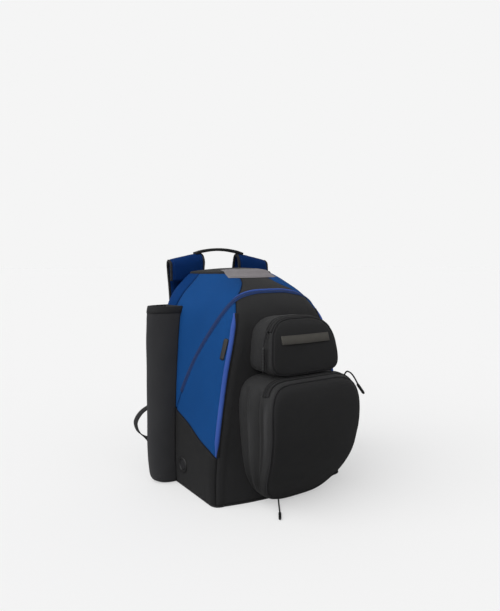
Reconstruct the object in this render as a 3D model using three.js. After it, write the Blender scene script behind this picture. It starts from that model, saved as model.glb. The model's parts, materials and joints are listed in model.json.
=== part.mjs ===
// Baseball equipment backpack: a soft body on a flat base, a bat sleeve on each side, two front pockets.
// Millimetres, +Z up, the front faces -Y, the origin is on the floor under the middle of the body.
import * as THREE from "three";

// Cloth and gaps
const CLOTH = 2;
const NEOPRENE = 3;
const BACK_PAD = 10;
const BASE_BOARD = 4;
const GAP = 0.3;
const SEAT = 0.4;
const POCKET_SEAT = 0.9;

// Body
const BACK_Y = 113;
const TOP_Z = 450;
const LID = 2.7;
const LIP_U = 0.325;
const BACK_EDGE_U = 0.8;

// The body's plan at each height: half widths at the front and back, the front's place,
// the rounding of the front and back corners, and how far the front bows out.
const BODY = [
  { z: 0, wf: 165, wb: 168, yf: -128, rf: 22, rb: 30, bow: 20 },
  { z: 60, wf: 165, wb: 172, yf: -128, rf: 24, rb: 32, bow: 18 },
  { z: 130, wf: 158, wb: 174, yf: -128, rf: 26, rb: 34, bow: 12 },
  { z: 200, wf: 148, wb: 174, yf: -128, rf: 28, rb: 36, bow: 6 },
  { z: 260, wf: 137, wb: 173, yf: -127, rf: 30, rb: 38, bow: 4 },
  { z: 330, wf: 120, wb: 171, yf: -124, rf: 32, rb: 40, bow: 4 },
  { z: 375, wf: 107, wb: 165, yf: -112, rf: 34, rb: 42, bow: 6 },
  { z: 410, wf: 89, wb: 149, yf: -77, rf: 34, rb: 44, bow: 8 },
  { z: 435, wf: 75, wb: 126, yf: -30, rf: 32, rb: 44, bow: 8 },
  { z: TOP_Z, wf: 68, wb: 108, yf: 6, rf: 30, rb: 42, bow: 6 },
];

// Share of the half outline that ends the front, its corner, the side and the back corner.
const ENDS = { front: 0.25, frontCorner: 0.4, side: 0.7, backCorner: BACK_EDGE_U };

// The main zip climbs the side and crosses the top: height against share of the half outline.
const ZIP_LINE = [
  { u: 0, z: 413 },
  { u: 0.2, z: 411 },
  { u: 0.31, z: 402 },
  { u: 0.4, z: 374 },
  { u: 0.46, z: 336 },
  { u: 0.52, z: 284 },
  { u: 0.58, z: 218 },
  { u: 0.62, z: 166 },
];
const ZIP_END_U = 0.592;
const ZIP_WIDTH = 10;
const ZIP_RAISED = 2.2;
const ZIP_SEAT = 0.7;

// Lower edge of the coloured side, and the edges towards the back and the top.
const COLOUR_LOW = [
  { u: LIP_U, z: 96 },
  { u: 0.45, z: 116 },
  { u: 0.54, z: 142 },
  { u: 0.62, z: 160 },
];
const COLOUR_BACK = [
  { z: 0, u: 0.69 },
  { z: 300, u: 0.69 },
  { z: 400, u: 0.675 },
  { z: TOP_Z, u: 0.64 },
];
const COLOUR_TOP = [
  { z: 400, u: LIP_U },
  { z: 425, u: 0.262 },
  { z: TOP_Z, u: 0.2 },
];

// Front pockets: outline about a middle height, its taper, and how far out the front stands.
const LOWER_POCKET = {
  middle: 129.4,
  halfHeight: 126,
  halfWidth: 115,
  squareTop: 5.6,
  squareFoot: 4.2,
  bulge: 8,
  taper: [
    { z: 0, k: 0.76 },
    { z: 40, k: 0.86 },
    { z: 80, k: 0.92 },
    { z: 130, k: 0.955 },
    { z: 190, k: 0.98 },
    { z: 254, k: 0.975 },
  ],
  front: [
    { z: 0, y: -162 },
    { z: 25, y: -178 },
    { z: 60, y: -203 },
    { z: 100, y: -225 },
    { z: 150, y: -238 },
    { z: 200, y: -239 },
    { z: 235, y: -231 },
    { z: 256, y: -217 },
  ],
};
const UPPER_POCKET = {
  middle: 313.2,
  halfHeight: 54.3,
  halfWidth: 84,
  squareTop: 3.6,
  squareFoot: 6,
  bulge: 5,
  taper: [
    { z: 256, k: 1.03 },
    { z: 300, k: 1 },
    { z: 340, k: 0.92 },
    { z: 370, k: 0.8 },
  ],
  front: [
    { z: 256, y: -203 },
    { z: 285, y: -201 },
    { z: 320, y: -195 },
    { z: 350, y: -183 },
    { z: 370, y: -166 },
  ],
};

// Folds that run down the lower pocket's side walls: place along the wall, reach and depth.
const WALL_FOLDS = [
  { run: 0.1, reach: 0.07, depth: 5 },
  { run: 0.29, reach: 0.085, depth: 7 },
];

// A pocket's wall from its root on the body (run 0) to the middle of its front (run 1).
const POCKET_WALL = [
  { run: 0, shrink: 1, out: 0 },
  { run: 0.2, shrink: 1, out: 0.4 },
  { run: 0.38, shrink: 0.995, out: 0.74 },
  { run: 0.48, shrink: 0.975, out: 0.9 },
  { run: 0.58, shrink: 0.93, out: 0.975 },
  { run: 0.7, shrink: 0.84, out: 1 },
  { run: 0.86, shrink: 0.46, out: 1 },
  { run: 1, shrink: 0, out: 1 },
];
const POCKET_SEAM = 0.53;

// Bat sleeves: middle, half depth and stand-off from the body's side, by height.
const SLEEVE_HALF_DEPTH = 32;
const SLEEVE_ROUND = 2.15;
const SLEEVE_SEAT = 0.9;
const SLEEVE_SHAPE = [
  { z: 1.5, y: 63, depth: 0.84, out: 34 },
  { z: 6, y: 63, depth: 0.93, out: 41 },
  { z: 16, y: 63, depth: 0.98, out: 45 },
  { z: 40, y: 63, depth: 1, out: 46 },
  { z: 200, y: 65, depth: 1, out: 47 },
  { z: 330, y: 69, depth: 0.97, out: 50 },
  { z: 380, y: 71, depth: 0.92, out: 55 },
];

// Shoulder straps: middle line on the wearer's side, width and the drop of the outer edge.
const STRAP_PAD = 12;
const STRAP = [
  { x: 93, y: 119.8, z: 430, width: 86, drop: 0 },
  { x: 93, y: 120.4, z: 455, width: 86, drop: 5 },
  { x: 93, y: 123, z: 474, width: 86, drop: 11 },
  { x: 93, y: 133, z: 484, width: 86, drop: 14 },
  { x: 92, y: 146, z: 478, width: 82, drop: 11 },
  { x: 89, y: 155, z: 455, width: 77, drop: 6 },
  { x: 86, y: 161, z: 410, width: 70, drop: 0 },
  { x: 85, y: 162, z: 350, width: 66, drop: 0 },
  { x: 88, y: 160, z: 285, width: 62, drop: 0 },
  { x: 96, y: 155, z: 225, width: 56, drop: 0 },
  { x: 104, y: 151, z: 182, width: 48, drop: 0 },
];

// Adjusting webbing from the strap's lower end round to the lower corner of the back.
const WEBBING = { width: 20, thick: 2, steps: 22 };
const WEBBING_PATH = [
  { x: 104, y: 150, z: 181.4 },
  { x: 107, y: 148.5, z: 170 },
  { x: 122, y: 144, z: 160 },
  { x: 150, y: 137, z: 156 },
  { x: 182, y: 130, z: 150 },
  { x: 210, y: 124, z: 138 },
  { x: 224, y: 120, z: 120 },
  { x: 220, y: 118, z: 100 },
  { x: 203, y: 118, z: 82 },
  { x: 182, y: 117, z: 67 },
  { x: 164, y: 115.6, z: 57 },
  { x: 150, y: 115, z: 52 },
  { x: 138, y: 115, z: 49 },
];

// Grab handle between the straps.
const HANDLE = { width: 14, thick: 6, y: 134 };
const HANDLE_PATH = [
  { x: -66, z: 497 },
  { x: -58, z: 498.2 },
  { x: -50, z: 499.6 },
  { x: -38, z: 501.6 },
  { x: -20, z: 503.9 },
  { x: 0, z: 504.8 },
  { x: 20, z: 503.9 },
  { x: 38, z: 501.6 },
  { x: 50, z: 499.6 },
  { x: 58, z: 498.2 },
  { x: 66, z: 497 },
];

// Small trim
const VENT = { u: 0.566, z: 50, rim: 17, hole: 11, rimHeight: 3, meshHeight: 1.2 };
const TOP_PATCH = { z: 444.5, reachU: 0.31, width: 17, thick: 1.2 };
const POCKET_BAND = { z: 327, halfLength: 58, width: 17, thick: 1.2 };
const PIPING = { low: 100, high: 374, u: 0.336, width: 9, foot: 0.7, height: 5 };

// Zip pulls as round cords with a thicker end: middle line and radius.
const LOWER_PULL = [
  { x: 93.9, y: -206.1, z: 247.1, r: 1.6 },
  { x: 99, y: -207.6, z: 253.3, r: 1.6 },
  { x: 107.6, y: -209.5, z: 249.8, r: 1.6 },
  { x: 116.1, y: -211, z: 240.3, r: 1.6 },
  { x: 124.4, y: -211.5, z: 228, r: 1.8 },
  { x: 126.1, y: -211.3, z: 224.2, r: 3.2 },
  { x: 146.7, y: -210, z: 201.2, r: 3.2 },
];
const UPPER_PULL = [
  { x: -76.3, y: -176.2, z: 345.7, r: 1.6 },
  { x: -81.5, y: -177.5, z: 338.5, r: 1.6 },
  { x: -88, y: -180, z: 322, r: 1.8 },
  { x: -89.5, y: -181, z: 316, r: 3.4 },
  { x: -92, y: -184, z: 268, r: 3.4 },
];
const FLOOR_PULL = [
  { x: -45.1, y: -170.8, z: 6.85, r: 1.5 },
  { x: -51, y: -180, z: 2.6, r: 1.5 },
  { x: -69, y: -207, z: 1.9, r: 1.6 },
  { x: -71, y: -210, z: 3.1, r: 2.8 },
  { x: -88, y: -233, z: 3.1, r: 2.8 },
];
const SIDE_PULL = { u: 0.366, z: 326, length: 42, width: 11, thick: 3.2 };

// Numbers between the rows of a table, on a smooth curve
function between(rows, key, name, at) {
  const last = rows.length - 1;
  if (at <= rows[0][key]) return rows[0][name];
  if (at >= rows[last][key]) return rows[last][name];
  let i = 0;
  while (rows[i + 1][key] < at) i += 1;
  const slope = (j) => {
    const a = rows[Math.max(j - 1, 0)];
    const b = rows[Math.min(j + 1, last)];
    return (b[name] - a[name]) / (b[key] - a[key]);
  };
  const span = rows[i + 1][key] - rows[i][key];
  const t = (at - rows[i][key]) / span;
  const t2 = t * t;
  const t3 = t2 * t;
  const from = rows[i][name] * (2 * t3 - 3 * t2 + 1) + slope(i) * span * (t3 - 2 * t2 + t);
  const to = rows[i + 1][name] * (3 * t2 - 2 * t3) + slope(i + 1) * span * (t3 - t2);
  return from + to;
}

const v3 = (x, y, z) => new THREE.Vector3(x, y, z);
const mix = (a, b, t) => a + (b - a) * t;
const steps = (n) => Array.from({ length: n + 1 }, (_, i) => i / n);

// A closed solid from triangles that share their corners, turned to face out
class Solid {
  constructor() {
    this.points = [];
    this.index = [];
    this.seen = new Map();
  }
  corner(p) {
    const key = [p.x, p.y, p.z].map((c) => Math.round(c * 500)).join(",");
    if (!this.seen.has(key)) {
      this.seen.set(key, this.points.length);
      this.points.push(p);
    }
    return this.seen.get(key);
  }
  face(a, b, c) {
    const [i, j, k] = [a, b, c].map((p) => this.corner(p));
    if (i !== j && j !== k && i !== k) this.index.push(i, j, k);
  }
  quad(a, b, c, d) {
    this.face(a, b, c);
    this.face(a, c, d);
  }
  geometry() {
    let volume = 0;
    for (let i = 0; i < this.index.length; i += 3) {
      const [a, b, c] = [0, 1, 2].map((k) => this.points[this.index[i + k]]);
      volume += a.dot(v3(0, 0, 0).crossVectors(b, c));
    }
    if (volume < 0) this.index.reverse();
    const made = new THREE.BufferGeometry();
    const flat = this.points.flatMap((p) => [p.x, p.y, p.z]);
    made.setAttribute("position", new THREE.Float32BufferAttribute(flat, 3));
    made.setIndex(this.index);
    made.computeVertexNormals();
    return made;
  }
}

// A sheet between an outer and an inner grid of points; a loop joins the last column to the first
function sheet(outer, inner, loop = false) {
  const solid = new Solid();
  const rows = outer.length;
  const cols = outer[0].length;
  const across = loop ? cols : cols - 1;
  for (let i = 0; i + 1 < rows; i += 1) {
    for (let j = 0; j < across; j += 1) {
      const k = (j + 1) % cols;
      solid.quad(outer[i][j], outer[i][k], outer[i + 1][k], outer[i + 1][j]);
      solid.quad(inner[i][j], inner[i + 1][j], inner[i + 1][k], inner[i][k]);
    }
    if (loop) continue;
    solid.quad(outer[i][0], outer[i + 1][0], inner[i + 1][0], inner[i][0]);
    const e = cols - 1;
    solid.quad(outer[i][e], inner[i][e], inner[i + 1][e], outer[i + 1][e]);
  }
  const top = rows - 1;
  for (let j = 0; j < across; j += 1) {
    const k = (j + 1) % cols;
    solid.quad(outer[0][j], inner[0][j], inner[0][k], outer[0][k]);
    solid.quad(outer[top][j], outer[top][k], inner[top][k], inner[top][j]);
  }
  return solid.geometry();
}

// A surface with its outward normal, found from small steps along both directions
class Surface {
  constructor(at, stepA, stepB, inside) {
    Object.assign(this, { at, stepA, stepB, inside });
  }
  frame(a, b) {
    const point = this.at(a, b);
    const alongA = this.at(a + this.stepA, b).sub(this.at(a - this.stepA, b));
    const alongB = this.at(a, b + this.stepB).sub(this.at(a, b - this.stepB));
    const normal = v3(0, 0, 0).crossVectors(alongA, alongB).normalize();
    if (normal.dot(point.clone().sub(this.inside(point))) < 0) normal.negate();
    alongA.divideScalar(2 * this.stepA);
    alongB.divideScalar(2 * this.stepB);
    return { point, normal, alongA, alongB };
  }
  off(a, b, height) {
    const f = this.frame(a, b);
    return f.point.addScaledVector(f.normal, height);
  }
  // The place reached from (a, b) by a short move along the surface
  moved(a, b, move) {
    const f = this.frame(a, b);
    const aa = f.alongA.dot(f.alongA);
    const ab = f.alongA.dot(f.alongB);
    const bb = f.alongB.dot(f.alongB);
    const ma = f.alongA.dot(move);
    const mb = f.alongB.dot(move);
    const det = aa * bb - ab * ab;
    return [a + (ma * bb - mb * ab) / det, b + (mb * aa - ma * ab) / det];
  }
}

// A piece of a surface with thickness: place(s, t) gives the surface's own two numbers
function patch(surface, across, up, place, low, high) {
  const grid = (height) =>
    steps(up).map((t) => steps(across).map((s) => surface.off(...place(s, t), height)));
  return sheet(grid(high), grid(low));
}

// A band along a path on a surface
function band(surface, path, width, low, high, across = 2) {
  const sides = path.map(([a, b], i) => {
    const before = surface.at(...path[Math.max(i - 1, 0)]);
    const after = surface.at(...path[Math.min(i + 1, path.length - 1)]);
    const along = after.sub(before).normalize();
    return v3(0, 0, 0).crossVectors(surface.frame(a, b).normal, along).normalize();
  });
  const grid = (height) =>
    path.map(([a, b], i) =>
      steps(across).map((s) => {
        const move = sides[i].clone().multiplyScalar((s - 0.5) * width);
        return surface.off(...surface.moved(a, b, move), height);
      }),
    );
  return sheet(grid(high), grid(low));
}

// A strip along points: side(i) is its width direction, pad(s) the share of its thickness
function strip(points, side, width, thick, across, pad) {
  const last = points.length - 1;
  const grid = (sign) =>
    points.map((p, i) => {
      const along = points[Math.min(i + 1, last)].clone().sub(points[Math.max(i - 1, 0)]);
      const lateral = side(i).clone().addScaledVector(along, -side(i).dot(along) / along.lengthSq());
      lateral.normalize();
      const normal = v3(0, 0, 0).crossVectors(along, lateral).normalize();
      return steps(across).map((s) =>
        p
          .clone()
          .addScaledVector(lateral, (s - 0.5) * width(i))
          .addScaledVector(normal, (sign * thick * pad(s)) / 2),
      );
    });
  return sheet(grid(1), grid(-1));
}

// A round cord along rows with their own radius
function cord(rows, sides = 8) {
  const points = rows.map((r) => v3(r.x, r.y, r.z));
  const last = points.length - 1;
  const rings = points.map((p, i) => {
    const along = points[Math.min(i + 1, last)].clone().sub(points[Math.max(i - 1, 0)]).normalize();
    const a = v3(0.31, 0.9, 0.2).cross(along).normalize();
    const b = v3(0, 0, 0).crossVectors(along, a);
    return steps(sides)
      .slice(0, -1)
      .map((s) => {
        const turn = 2 * Math.PI * s;
        return p
          .clone()
          .addScaledVector(a, Math.cos(turn) * rows[i].r)
          .addScaledVector(b, Math.sin(turn) * rows[i].r);
      });
  });
  const solid = new Solid();
  rings.slice(1).forEach((ring, i) =>
    ring.forEach((p, j) => {
      const k = (j + 1) % sides;
      solid.quad(rings[i][j], rings[i][k], ring[k], p);
    }),
  );
  rings[0].forEach((p, j) => solid.face(points[0], rings[0][(j + 1) % sides], p));
  rings[last].forEach((p, j) => solid.face(points[last], p, rings[last][(j + 1) % sides]));
  return solid.geometry();
}

// The body's half outline: share u from the middle of the front (0) to the middle of the back (1)
function sectionAt(z) {
  const row = {};
  Object.keys(BODY[0]).forEach((name) => {
    row[name] = between(BODY, "z", name, z);
  });
  return row;
}

function curve(a, b, c, t) {
  const s = 1 - t;
  return a.clone().multiplyScalar(s * s).addScaledVector(b, 2 * s * t).addScaledVector(c, t * t);
}

function halfOutline(u, s) {
  const frontCorner = new THREE.Vector2(s.wf, s.yf);
  const backCorner = new THREE.Vector2(s.wb, BACK_Y);
  const along = backCorner.clone().sub(frontCorner).normalize();
  const frontEnd = new THREE.Vector2(s.wf - s.rf, s.yf);
  const sideStart = frontCorner.clone().addScaledVector(along, s.rf);
  const sideEnd = backCorner.clone().addScaledVector(along, -s.rb);
  const backStart = new THREE.Vector2(s.wb - s.rb, BACK_Y);
  if (u <= ENDS.front) {
    const t = u / ENDS.front;
    return new THREE.Vector2(frontEnd.x * t, s.yf - s.bow * (1 - t * t));
  }
  if (u <= ENDS.frontCorner) {
    const t = (u - ENDS.front) / (ENDS.frontCorner - ENDS.front);
    return curve(frontEnd, frontCorner, sideStart, t);
  }
  if (u <= ENDS.side) {
    return sideStart.lerp(sideEnd, (u - ENDS.frontCorner) / (ENDS.side - ENDS.frontCorner));
  }
  if (u <= ENDS.backCorner) {
    const t = (u - ENDS.side) / (ENDS.backCorner - ENDS.side);
    return curve(sideEnd, backCorner, backStart, t);
  }
  return backStart.lerp(new THREE.Vector2(0, BACK_Y), (u - ENDS.backCorner) / (1 - ENDS.backCorner));
}

function bodyPoint(u, z) {
  let share = u;
  if (share > 1) share -= 2;
  if (share < -1) share += 2;
  const p = halfOutline(Math.abs(share), sectionAt(z));
  return v3(share < 0 ? -p.x : p.x, p.y, z);
}
const body = new Surface(bodyPoint, 0.002, 0.4, (p) => v3(p.x * 0.6, mix(p.y, 40, 0.4), p.z - 40));

// How far out the body's front and side stand at a place, for the pockets and sleeves on them
function frontY(x, z) {
  const section = sectionAt(z);
  let before = halfOutline(0, section);
  for (const s of steps(60).slice(1)) {
    const p = halfOutline(s * 0.46, section);
    if (p.x >= Math.abs(x)) {
      return mix(before.y, p.y, (Math.abs(x) - before.x) / (p.x - before.x));
    }
    before = p;
  }
  return before.y;
}
function sideX(y, z) {
  const section = sectionAt(z);
  let before = halfOutline(0.3, section);
  for (const s of steps(60).slice(1)) {
    const p = halfOutline(mix(0.3, 0.8, s), section);
    if (p.y >= y) return mix(before.x, p.x, (y - before.y) / (p.y - before.y));
    before = p;
  }
  return before.x;
}

// Colours and the group
const PAINT = {
  blue: [0x234b87, 0.75],
  navy: [0x0d2350, 0.8],
  black: [0x262628, 0.8],
  neoprene: [0x2a2a2c, 0.9],
  zip: [0x12305f, 0.6],
  blackZip: [0x161617, 0.6],
  webbing: [0x17171a, 0.7],
  grey: [0x8c8a84, 0.7],
  plastic: [0x101011, 0.4],
};
const bag = new THREE.Group();
bag.name = "baseball_equipment_bag";

function add(name, geometry, paint) {
  const [color, roughness] = PAINT[paint];
  const material = new THREE.MeshStandardMaterial({ color, roughness, metalness: 0 });
  const mesh = new THREE.Mesh(geometry, material);
  mesh.name = name;
  bag.add(mesh);
}
const SIDES = [
  { name: "left", sign: -1 },
  { name: "right", sign: 1 },
];

// Base board and top lid: flat plates with the body's outline
function plate(z, low, high) {
  const around = steps(36).slice(0, -1).map((s) => 2 * s - 1);
  const solid = new Solid();
  const ring = (height) => around.map((u) => bodyPoint(u, z).setZ(height));
  const bottom = ring(low);
  const top = ring(high);
  const middle = (height) => v3(0, 40, height);
  around.forEach((_, j) => {
    const k = (j + 1) % around.length;
    solid.quad(bottom[j], bottom[k], top[k], top[j]);
    solid.face(middle(low), bottom[k], bottom[j]);
    solid.face(middle(high), top[j], top[k]);
  });
  return solid.geometry();
}
const FOOT = BASE_BOARD + GAP;
add("base_panel", plate(0, 0, BASE_BOARD), "black");
add("top_lid", plate(TOP_Z, TOP_Z + GAP, TOP_Z + GAP + LID), "black");

// Body panels between the seams
const zipZ = (u) => between(ZIP_LINE, "u", "z", Math.abs(u));
const colourLow = (u) => between(COLOUR_LOW, "u", "z", u);
const colourBack = (z) => between(COLOUR_BACK, "z", "u", z);
const colourTop = (z) => between(COLOUR_TOP, "z", "u", z);
const SEAM_U = 0.0015;
const SEAM_Z = 0.5;

add(
  "front_panel",
  patch(
    body,
    20,
    7,
    (s, t) => {
      const u = mix(-LIP_U + SEAM_U, LIP_U - SEAM_U, s);
      return [u, mix(FOOT, zipZ(u) - SEAM_Z, t)];
    },
    -CLOTH,
    0,
  ),
  "black",
);
const TOP_U = LIP_U;
const topZ = (u, t) => mix(zipZ(u) + SEAM_Z, TOP_Z, t);
add(
  "top_front_panel",
  patch(
    body,
    20,
    5,
    (s, t) => {
      const side = 2 * s - 1;
      return [side * (colourTop(topZ(TOP_U, t)) - SEAM_U), topZ(side * TOP_U, t)];
    },
    -CLOTH,
    0,
  ),
  "black",
);
add(
  "back_panel",
  patch(
    body,
    6,
    8,
    (s, t) => [mix(BACK_EDGE_U + SEAM_U, 2 - BACK_EDGE_U - SEAM_U, s), mix(FOOT, TOP_Z, t)],
    -BACK_PAD,
    0,
  ),
  "navy",
);

// Columns of the side panels, and the seam under the sleeve
const SIDE_U = [LIP_U, 0.35, 0.375, 0.4, 0.43, 0.46, 0.49, 0.52, 0.55, 0.585, 0.62, 0.655, 0.69];
const ZIP_U = SIDE_U.slice(0, -2);
const SLEEVE_SEAM_Z = 163;
const ZIP_FOOT_U = 0.62;
const column = (list, s) => list[Math.round(s * (list.length - 1))];
const inset = (s) => SEAM_U * (s === 0 ? 1 : 0) - SEAM_U * (s === 1 ? 1 : 0);

SIDES.forEach(({ name, sign }) => {
  const sidePatch = (piece, paint, across, up, place, low) =>
    add(
      piece + "_" + name,
      patch(
        body,
        across,
        up,
        (s, t) => {
          const [u, z] = place(s, t);
          return [sign * (u + inset(s)), z];
        },
        -low,
        0,
      ),
      paint,
    );
  sidePatch(
    "side_front_panel",
    "blue",
    ZIP_U.length - 1,
    8,
    (s, t) => {
      const u = column(ZIP_U, s);
      return [u, mix(colourLow(u) + SEAM_Z, zipZ(u) - SEAM_Z, t)];
    },
    CLOTH,
  );
  // The rear panel runs from the zip up to the top, and back to the gusset behind the sleeve
  const rearZ = (u, t) => mix((u > ZIP_FOOT_U ? SLEEVE_SEAM_Z : zipZ(u)) + SEAM_Z, TOP_Z, t);
  sidePatch(
    "side_rear_panel",
    "blue",
    SIDE_U.length - 1,
    7,
    (s, t) => {
      const foot = column(SIDE_U, s);
      const share = (foot - SIDE_U[0]) / (SIDE_U[SIDE_U.length - 1] - SIDE_U[0]);
      const front = colourTop(rearZ(SIDE_U[0], t));
      const back = colourBack(rearZ(SIDE_U[SIDE_U.length - 1], t));
      return [mix(front, back, share), rearZ(foot, t)];
    },
    CLOTH,
  );
  sidePatch(
    "lower_side_panel",
    "black",
    SIDE_U.length - 1,
    5,
    (s, t) => {
      const u = column(SIDE_U, s);
      const top = u > ZIP_FOOT_U ? SLEEVE_SEAM_Z : colourLow(u);
      return [u, mix(FOOT, top - SEAM_Z, t)];
    },
    CLOTH,
  );
  sidePatch(
    "back_gusset",
    "navy",
    4,
    9,
    (s, t) => {
      const z = mix(FOOT, TOP_Z, t);
      return [mix(colourBack(z), BACK_EDGE_U, s), z];
    },
    CLOTH,
  );

  // Raised edge between the coloured side and the black front
  const edge = steps(16).map((t) => [sign * PIPING.u, mix(PIPING.low, PIPING.high, t)]);
  add("side_piping_" + name, band(body, edge, PIPING.width, PIPING.foot, PIPING.height), "blue");

  // Round vent low on the side
  const vent = (height) =>
    steps(4).map((r) => {
      const radius = [0.01, VENT.hole - 1, VENT.hole, VENT.rim - 1, VENT.rim][Math.round(r * 4)];
      const level = radius < VENT.hole ? VENT.meshHeight : VENT.rimHeight;
      return steps(12)
        .slice(0, -1)
        .map((t) => {
          const turn = 2 * Math.PI * t;
          const move = v3(0, Math.cos(turn) * radius, Math.sin(turn) * radius);
          const place = body.moved(sign * VENT.u, VENT.z, move);
          return body.off(...place, height === 0 ? SEAT : level);
        });
    });
  add("side_vent_" + name, closedDisc(vent(1), vent(0)), "plastic");

  // Hanging tab of the side zip
  const tab = steps(4).map((t) => [sign * (SIDE_PULL.u + 0.01 * t), SIDE_PULL.z - SIDE_PULL.length * t]);
  add("side_pull_" + name, band(body, tab, SIDE_PULL.width, SEAT, SIDE_PULL.thick), "webbing");
});

// Main zip over the sides and top
const zipPath = steps(40).map((s) => {
  const u = mix(-ZIP_END_U, ZIP_END_U, s);
  return [u, zipZ(u)];
});
add("main_zip", band(body, zipPath, ZIP_WIDTH, ZIP_SEAT, ZIP_RAISED), "zip");

// Plain patch on the top
const patchPath = steps(14).map((s) => [mix(-TOP_PATCH.reachU, TOP_PATCH.reachU, s), TOP_PATCH.z]);
add("top_patch", band(body, patchPath, TOP_PATCH.width, SEAT, SEAT + TOP_PATCH.thick), "grey");

// Pockets: a wall that leaves the body, rounds over and closes as the front
function pocketSurface(shape) {
  const power = (c, square) => Math.sign(c) * Math.abs(c) ** (2 / square);
  const outline = (turn) => {
    const square = Math.sin(turn) > 0 ? shape.squareTop : shape.squareFoot;
    const z = shape.middle + shape.halfHeight * power(Math.sin(turn), square);
    const x = shape.halfWidth * power(Math.cos(turn), square) * between(shape.taper, "z", "k", z);
    return [x, z];
  };
  const at = (turn, run) => {
    const [ox, oz] = outline(turn);
    const shrink = between(POCKET_WALL, "run", "shrink", run);
    const out = between(POCKET_WALL, "run", "out", run);
    const upright = THREE.MathUtils.smoothstep(Math.abs(Math.cos(turn)), 0.72, 0.97);
    const fold = (shape.folds || []).reduce(
      (sum, f) => sum + f.depth * Math.max(0, 1 - ((run - f.run) / f.reach) ** 2) ** 2,
      0,
    );
    const x = ox * shrink - Math.sign(ox) * fold * upright;
    const z = shape.middle + (oz - shape.middle) * shrink;
    const root = frontY(ox, oz) - POCKET_SEAT;
    const wide = x / shape.halfWidth;
    const front = between(shape.front, "z", "y", z) - shape.bulge * (1 - wide * wide);
    return v3(x, mix(root, front, out), z);
  };
  const inside = (p) => v3(p.x * 0.9, mix(p.y, -100, 0.5), mix(p.z, shape.middle, 0.1));
  return new Surface(at, 0.004, 0.004, inside);
}
const AROUND = 30;
const turns = steps(AROUND)
  .slice(0, -1)
  .map((s) => 2 * Math.PI * (s + 0.5 / AROUND));
const PLAIN_RUNS = [0.002, 0.2, 0.38, 0.46, POCKET_SEAM - 0.002];
const FOLDED_RUNS = [0.002, 0.1, 0.19, 0.29, 0.38, 0.46, POCKET_SEAM - 0.002];
const FRONT_RUNS = [POCKET_SEAM + 0.002, 0.58, 0.64, 0.72, 0.86];

function ringGrid(surface, runs, height) {
  return runs.map((run) => turns.map((turn) => surface.off(turn, run, height)));
}

// A sheet closed at its last ring by a fan on both faces
function closedDisc(outer, inner, lastRing = 0) {
  const solid = new Solid();
  const rows = outer.length;
  const cols = outer[0].length;
  const rim = lastRing === 0 ? rows - 1 : 0;
  const pole = lastRing === 0 ? 0 : rows - 1;
  const middle = (ring) => ring.reduce((sum, p) => sum.add(p), v3(0, 0, 0)).divideScalar(ring.length);
  const poles = [middle(outer[pole]), middle(inner[pole])];
  const flip = lastRing === 0;
  const face = (a, b, c, back) => (flip !== back ? solid.face(a, c, b) : solid.face(a, b, c));
  const quad = (a, b, c, d, back) => {
    face(a, b, c, back);
    face(a, c, d, back);
  };
  const step = lastRing === 0 ? -1 : 1;
  for (let j = 0; j < cols; j += 1) {
    const k = (j + 1) % cols;
    for (let i = rim; i !== pole; i += step) {
      quad(outer[i][j], outer[i][k], outer[i + step][k], outer[i + step][j], false);
      quad(inner[i][j], inner[i][k], inner[i + step][k], inner[i + step][j], true);
    }
    face(outer[pole][j], outer[pole][k], poles[0], false);
    face(inner[pole][j], inner[pole][k], poles[1], true);
    quad(outer[rim][j], outer[rim][k], inner[rim][k], inner[rim][j], true);
  }
  return solid.geometry();
}

const POCKETS = [
  {
    name: "lower_pocket",
    shape: { ...LOWER_POCKET, folds: WALL_FOLDS },
    zip: { run: 0.4, from: 0.2, to: 0.82 },
  },
  {
    name: "upper_pocket",
    shape: UPPER_POCKET,
    zip: { run: 0.42, from: 0.1, to: 0.9 },
  },
];
POCKETS.forEach(({ name, shape, zip }) => {
  const surface = pocketSurface(shape);
  const runs = shape.folds ? FOLDED_RUNS : PLAIN_RUNS;
  const wall = [ringGrid(surface, runs, 0), ringGrid(surface, runs, -CLOTH)];
  add(name + "_gusset", sheet(wall[0], wall[1], true), "black");
  const front = [ringGrid(surface, FRONT_RUNS, 0), ringGrid(surface, FRONT_RUNS, -CLOTH)];
  add(name + "_front", closedDisc(front[0], front[1], 1), "black");
  const path = steps(16).map((s) => [Math.PI * mix(zip.from, zip.to, s), zip.run]);
  add(name + "_zip", band(surface, path, ZIP_WIDTH - 1, SEAT, ZIP_RAISED), "blackZip");
});

// Plain band across the upper pocket
const bandGrid = (height) =>
  [-0.5, 0.5].map((side) =>
    steps(10).map((s) => {
      const x = mix(-POCKET_BAND.halfLength, POCKET_BAND.halfLength, s);
      const z = POCKET_BAND.z + side * POCKET_BAND.width;
      const wide = x / UPPER_POCKET.halfWidth;
      const y = between(UPPER_POCKET.front, "z", "y", z) - UPPER_POCKET.bulge * (1 - wide * wide);
      return v3(x, y - height, z);
    }),
  );
add("upper_pocket_band", sheet(bandGrid(SEAT + 0.5 + POCKET_BAND.thick), bandGrid(SEAT + 0.5)), "grey");

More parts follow.
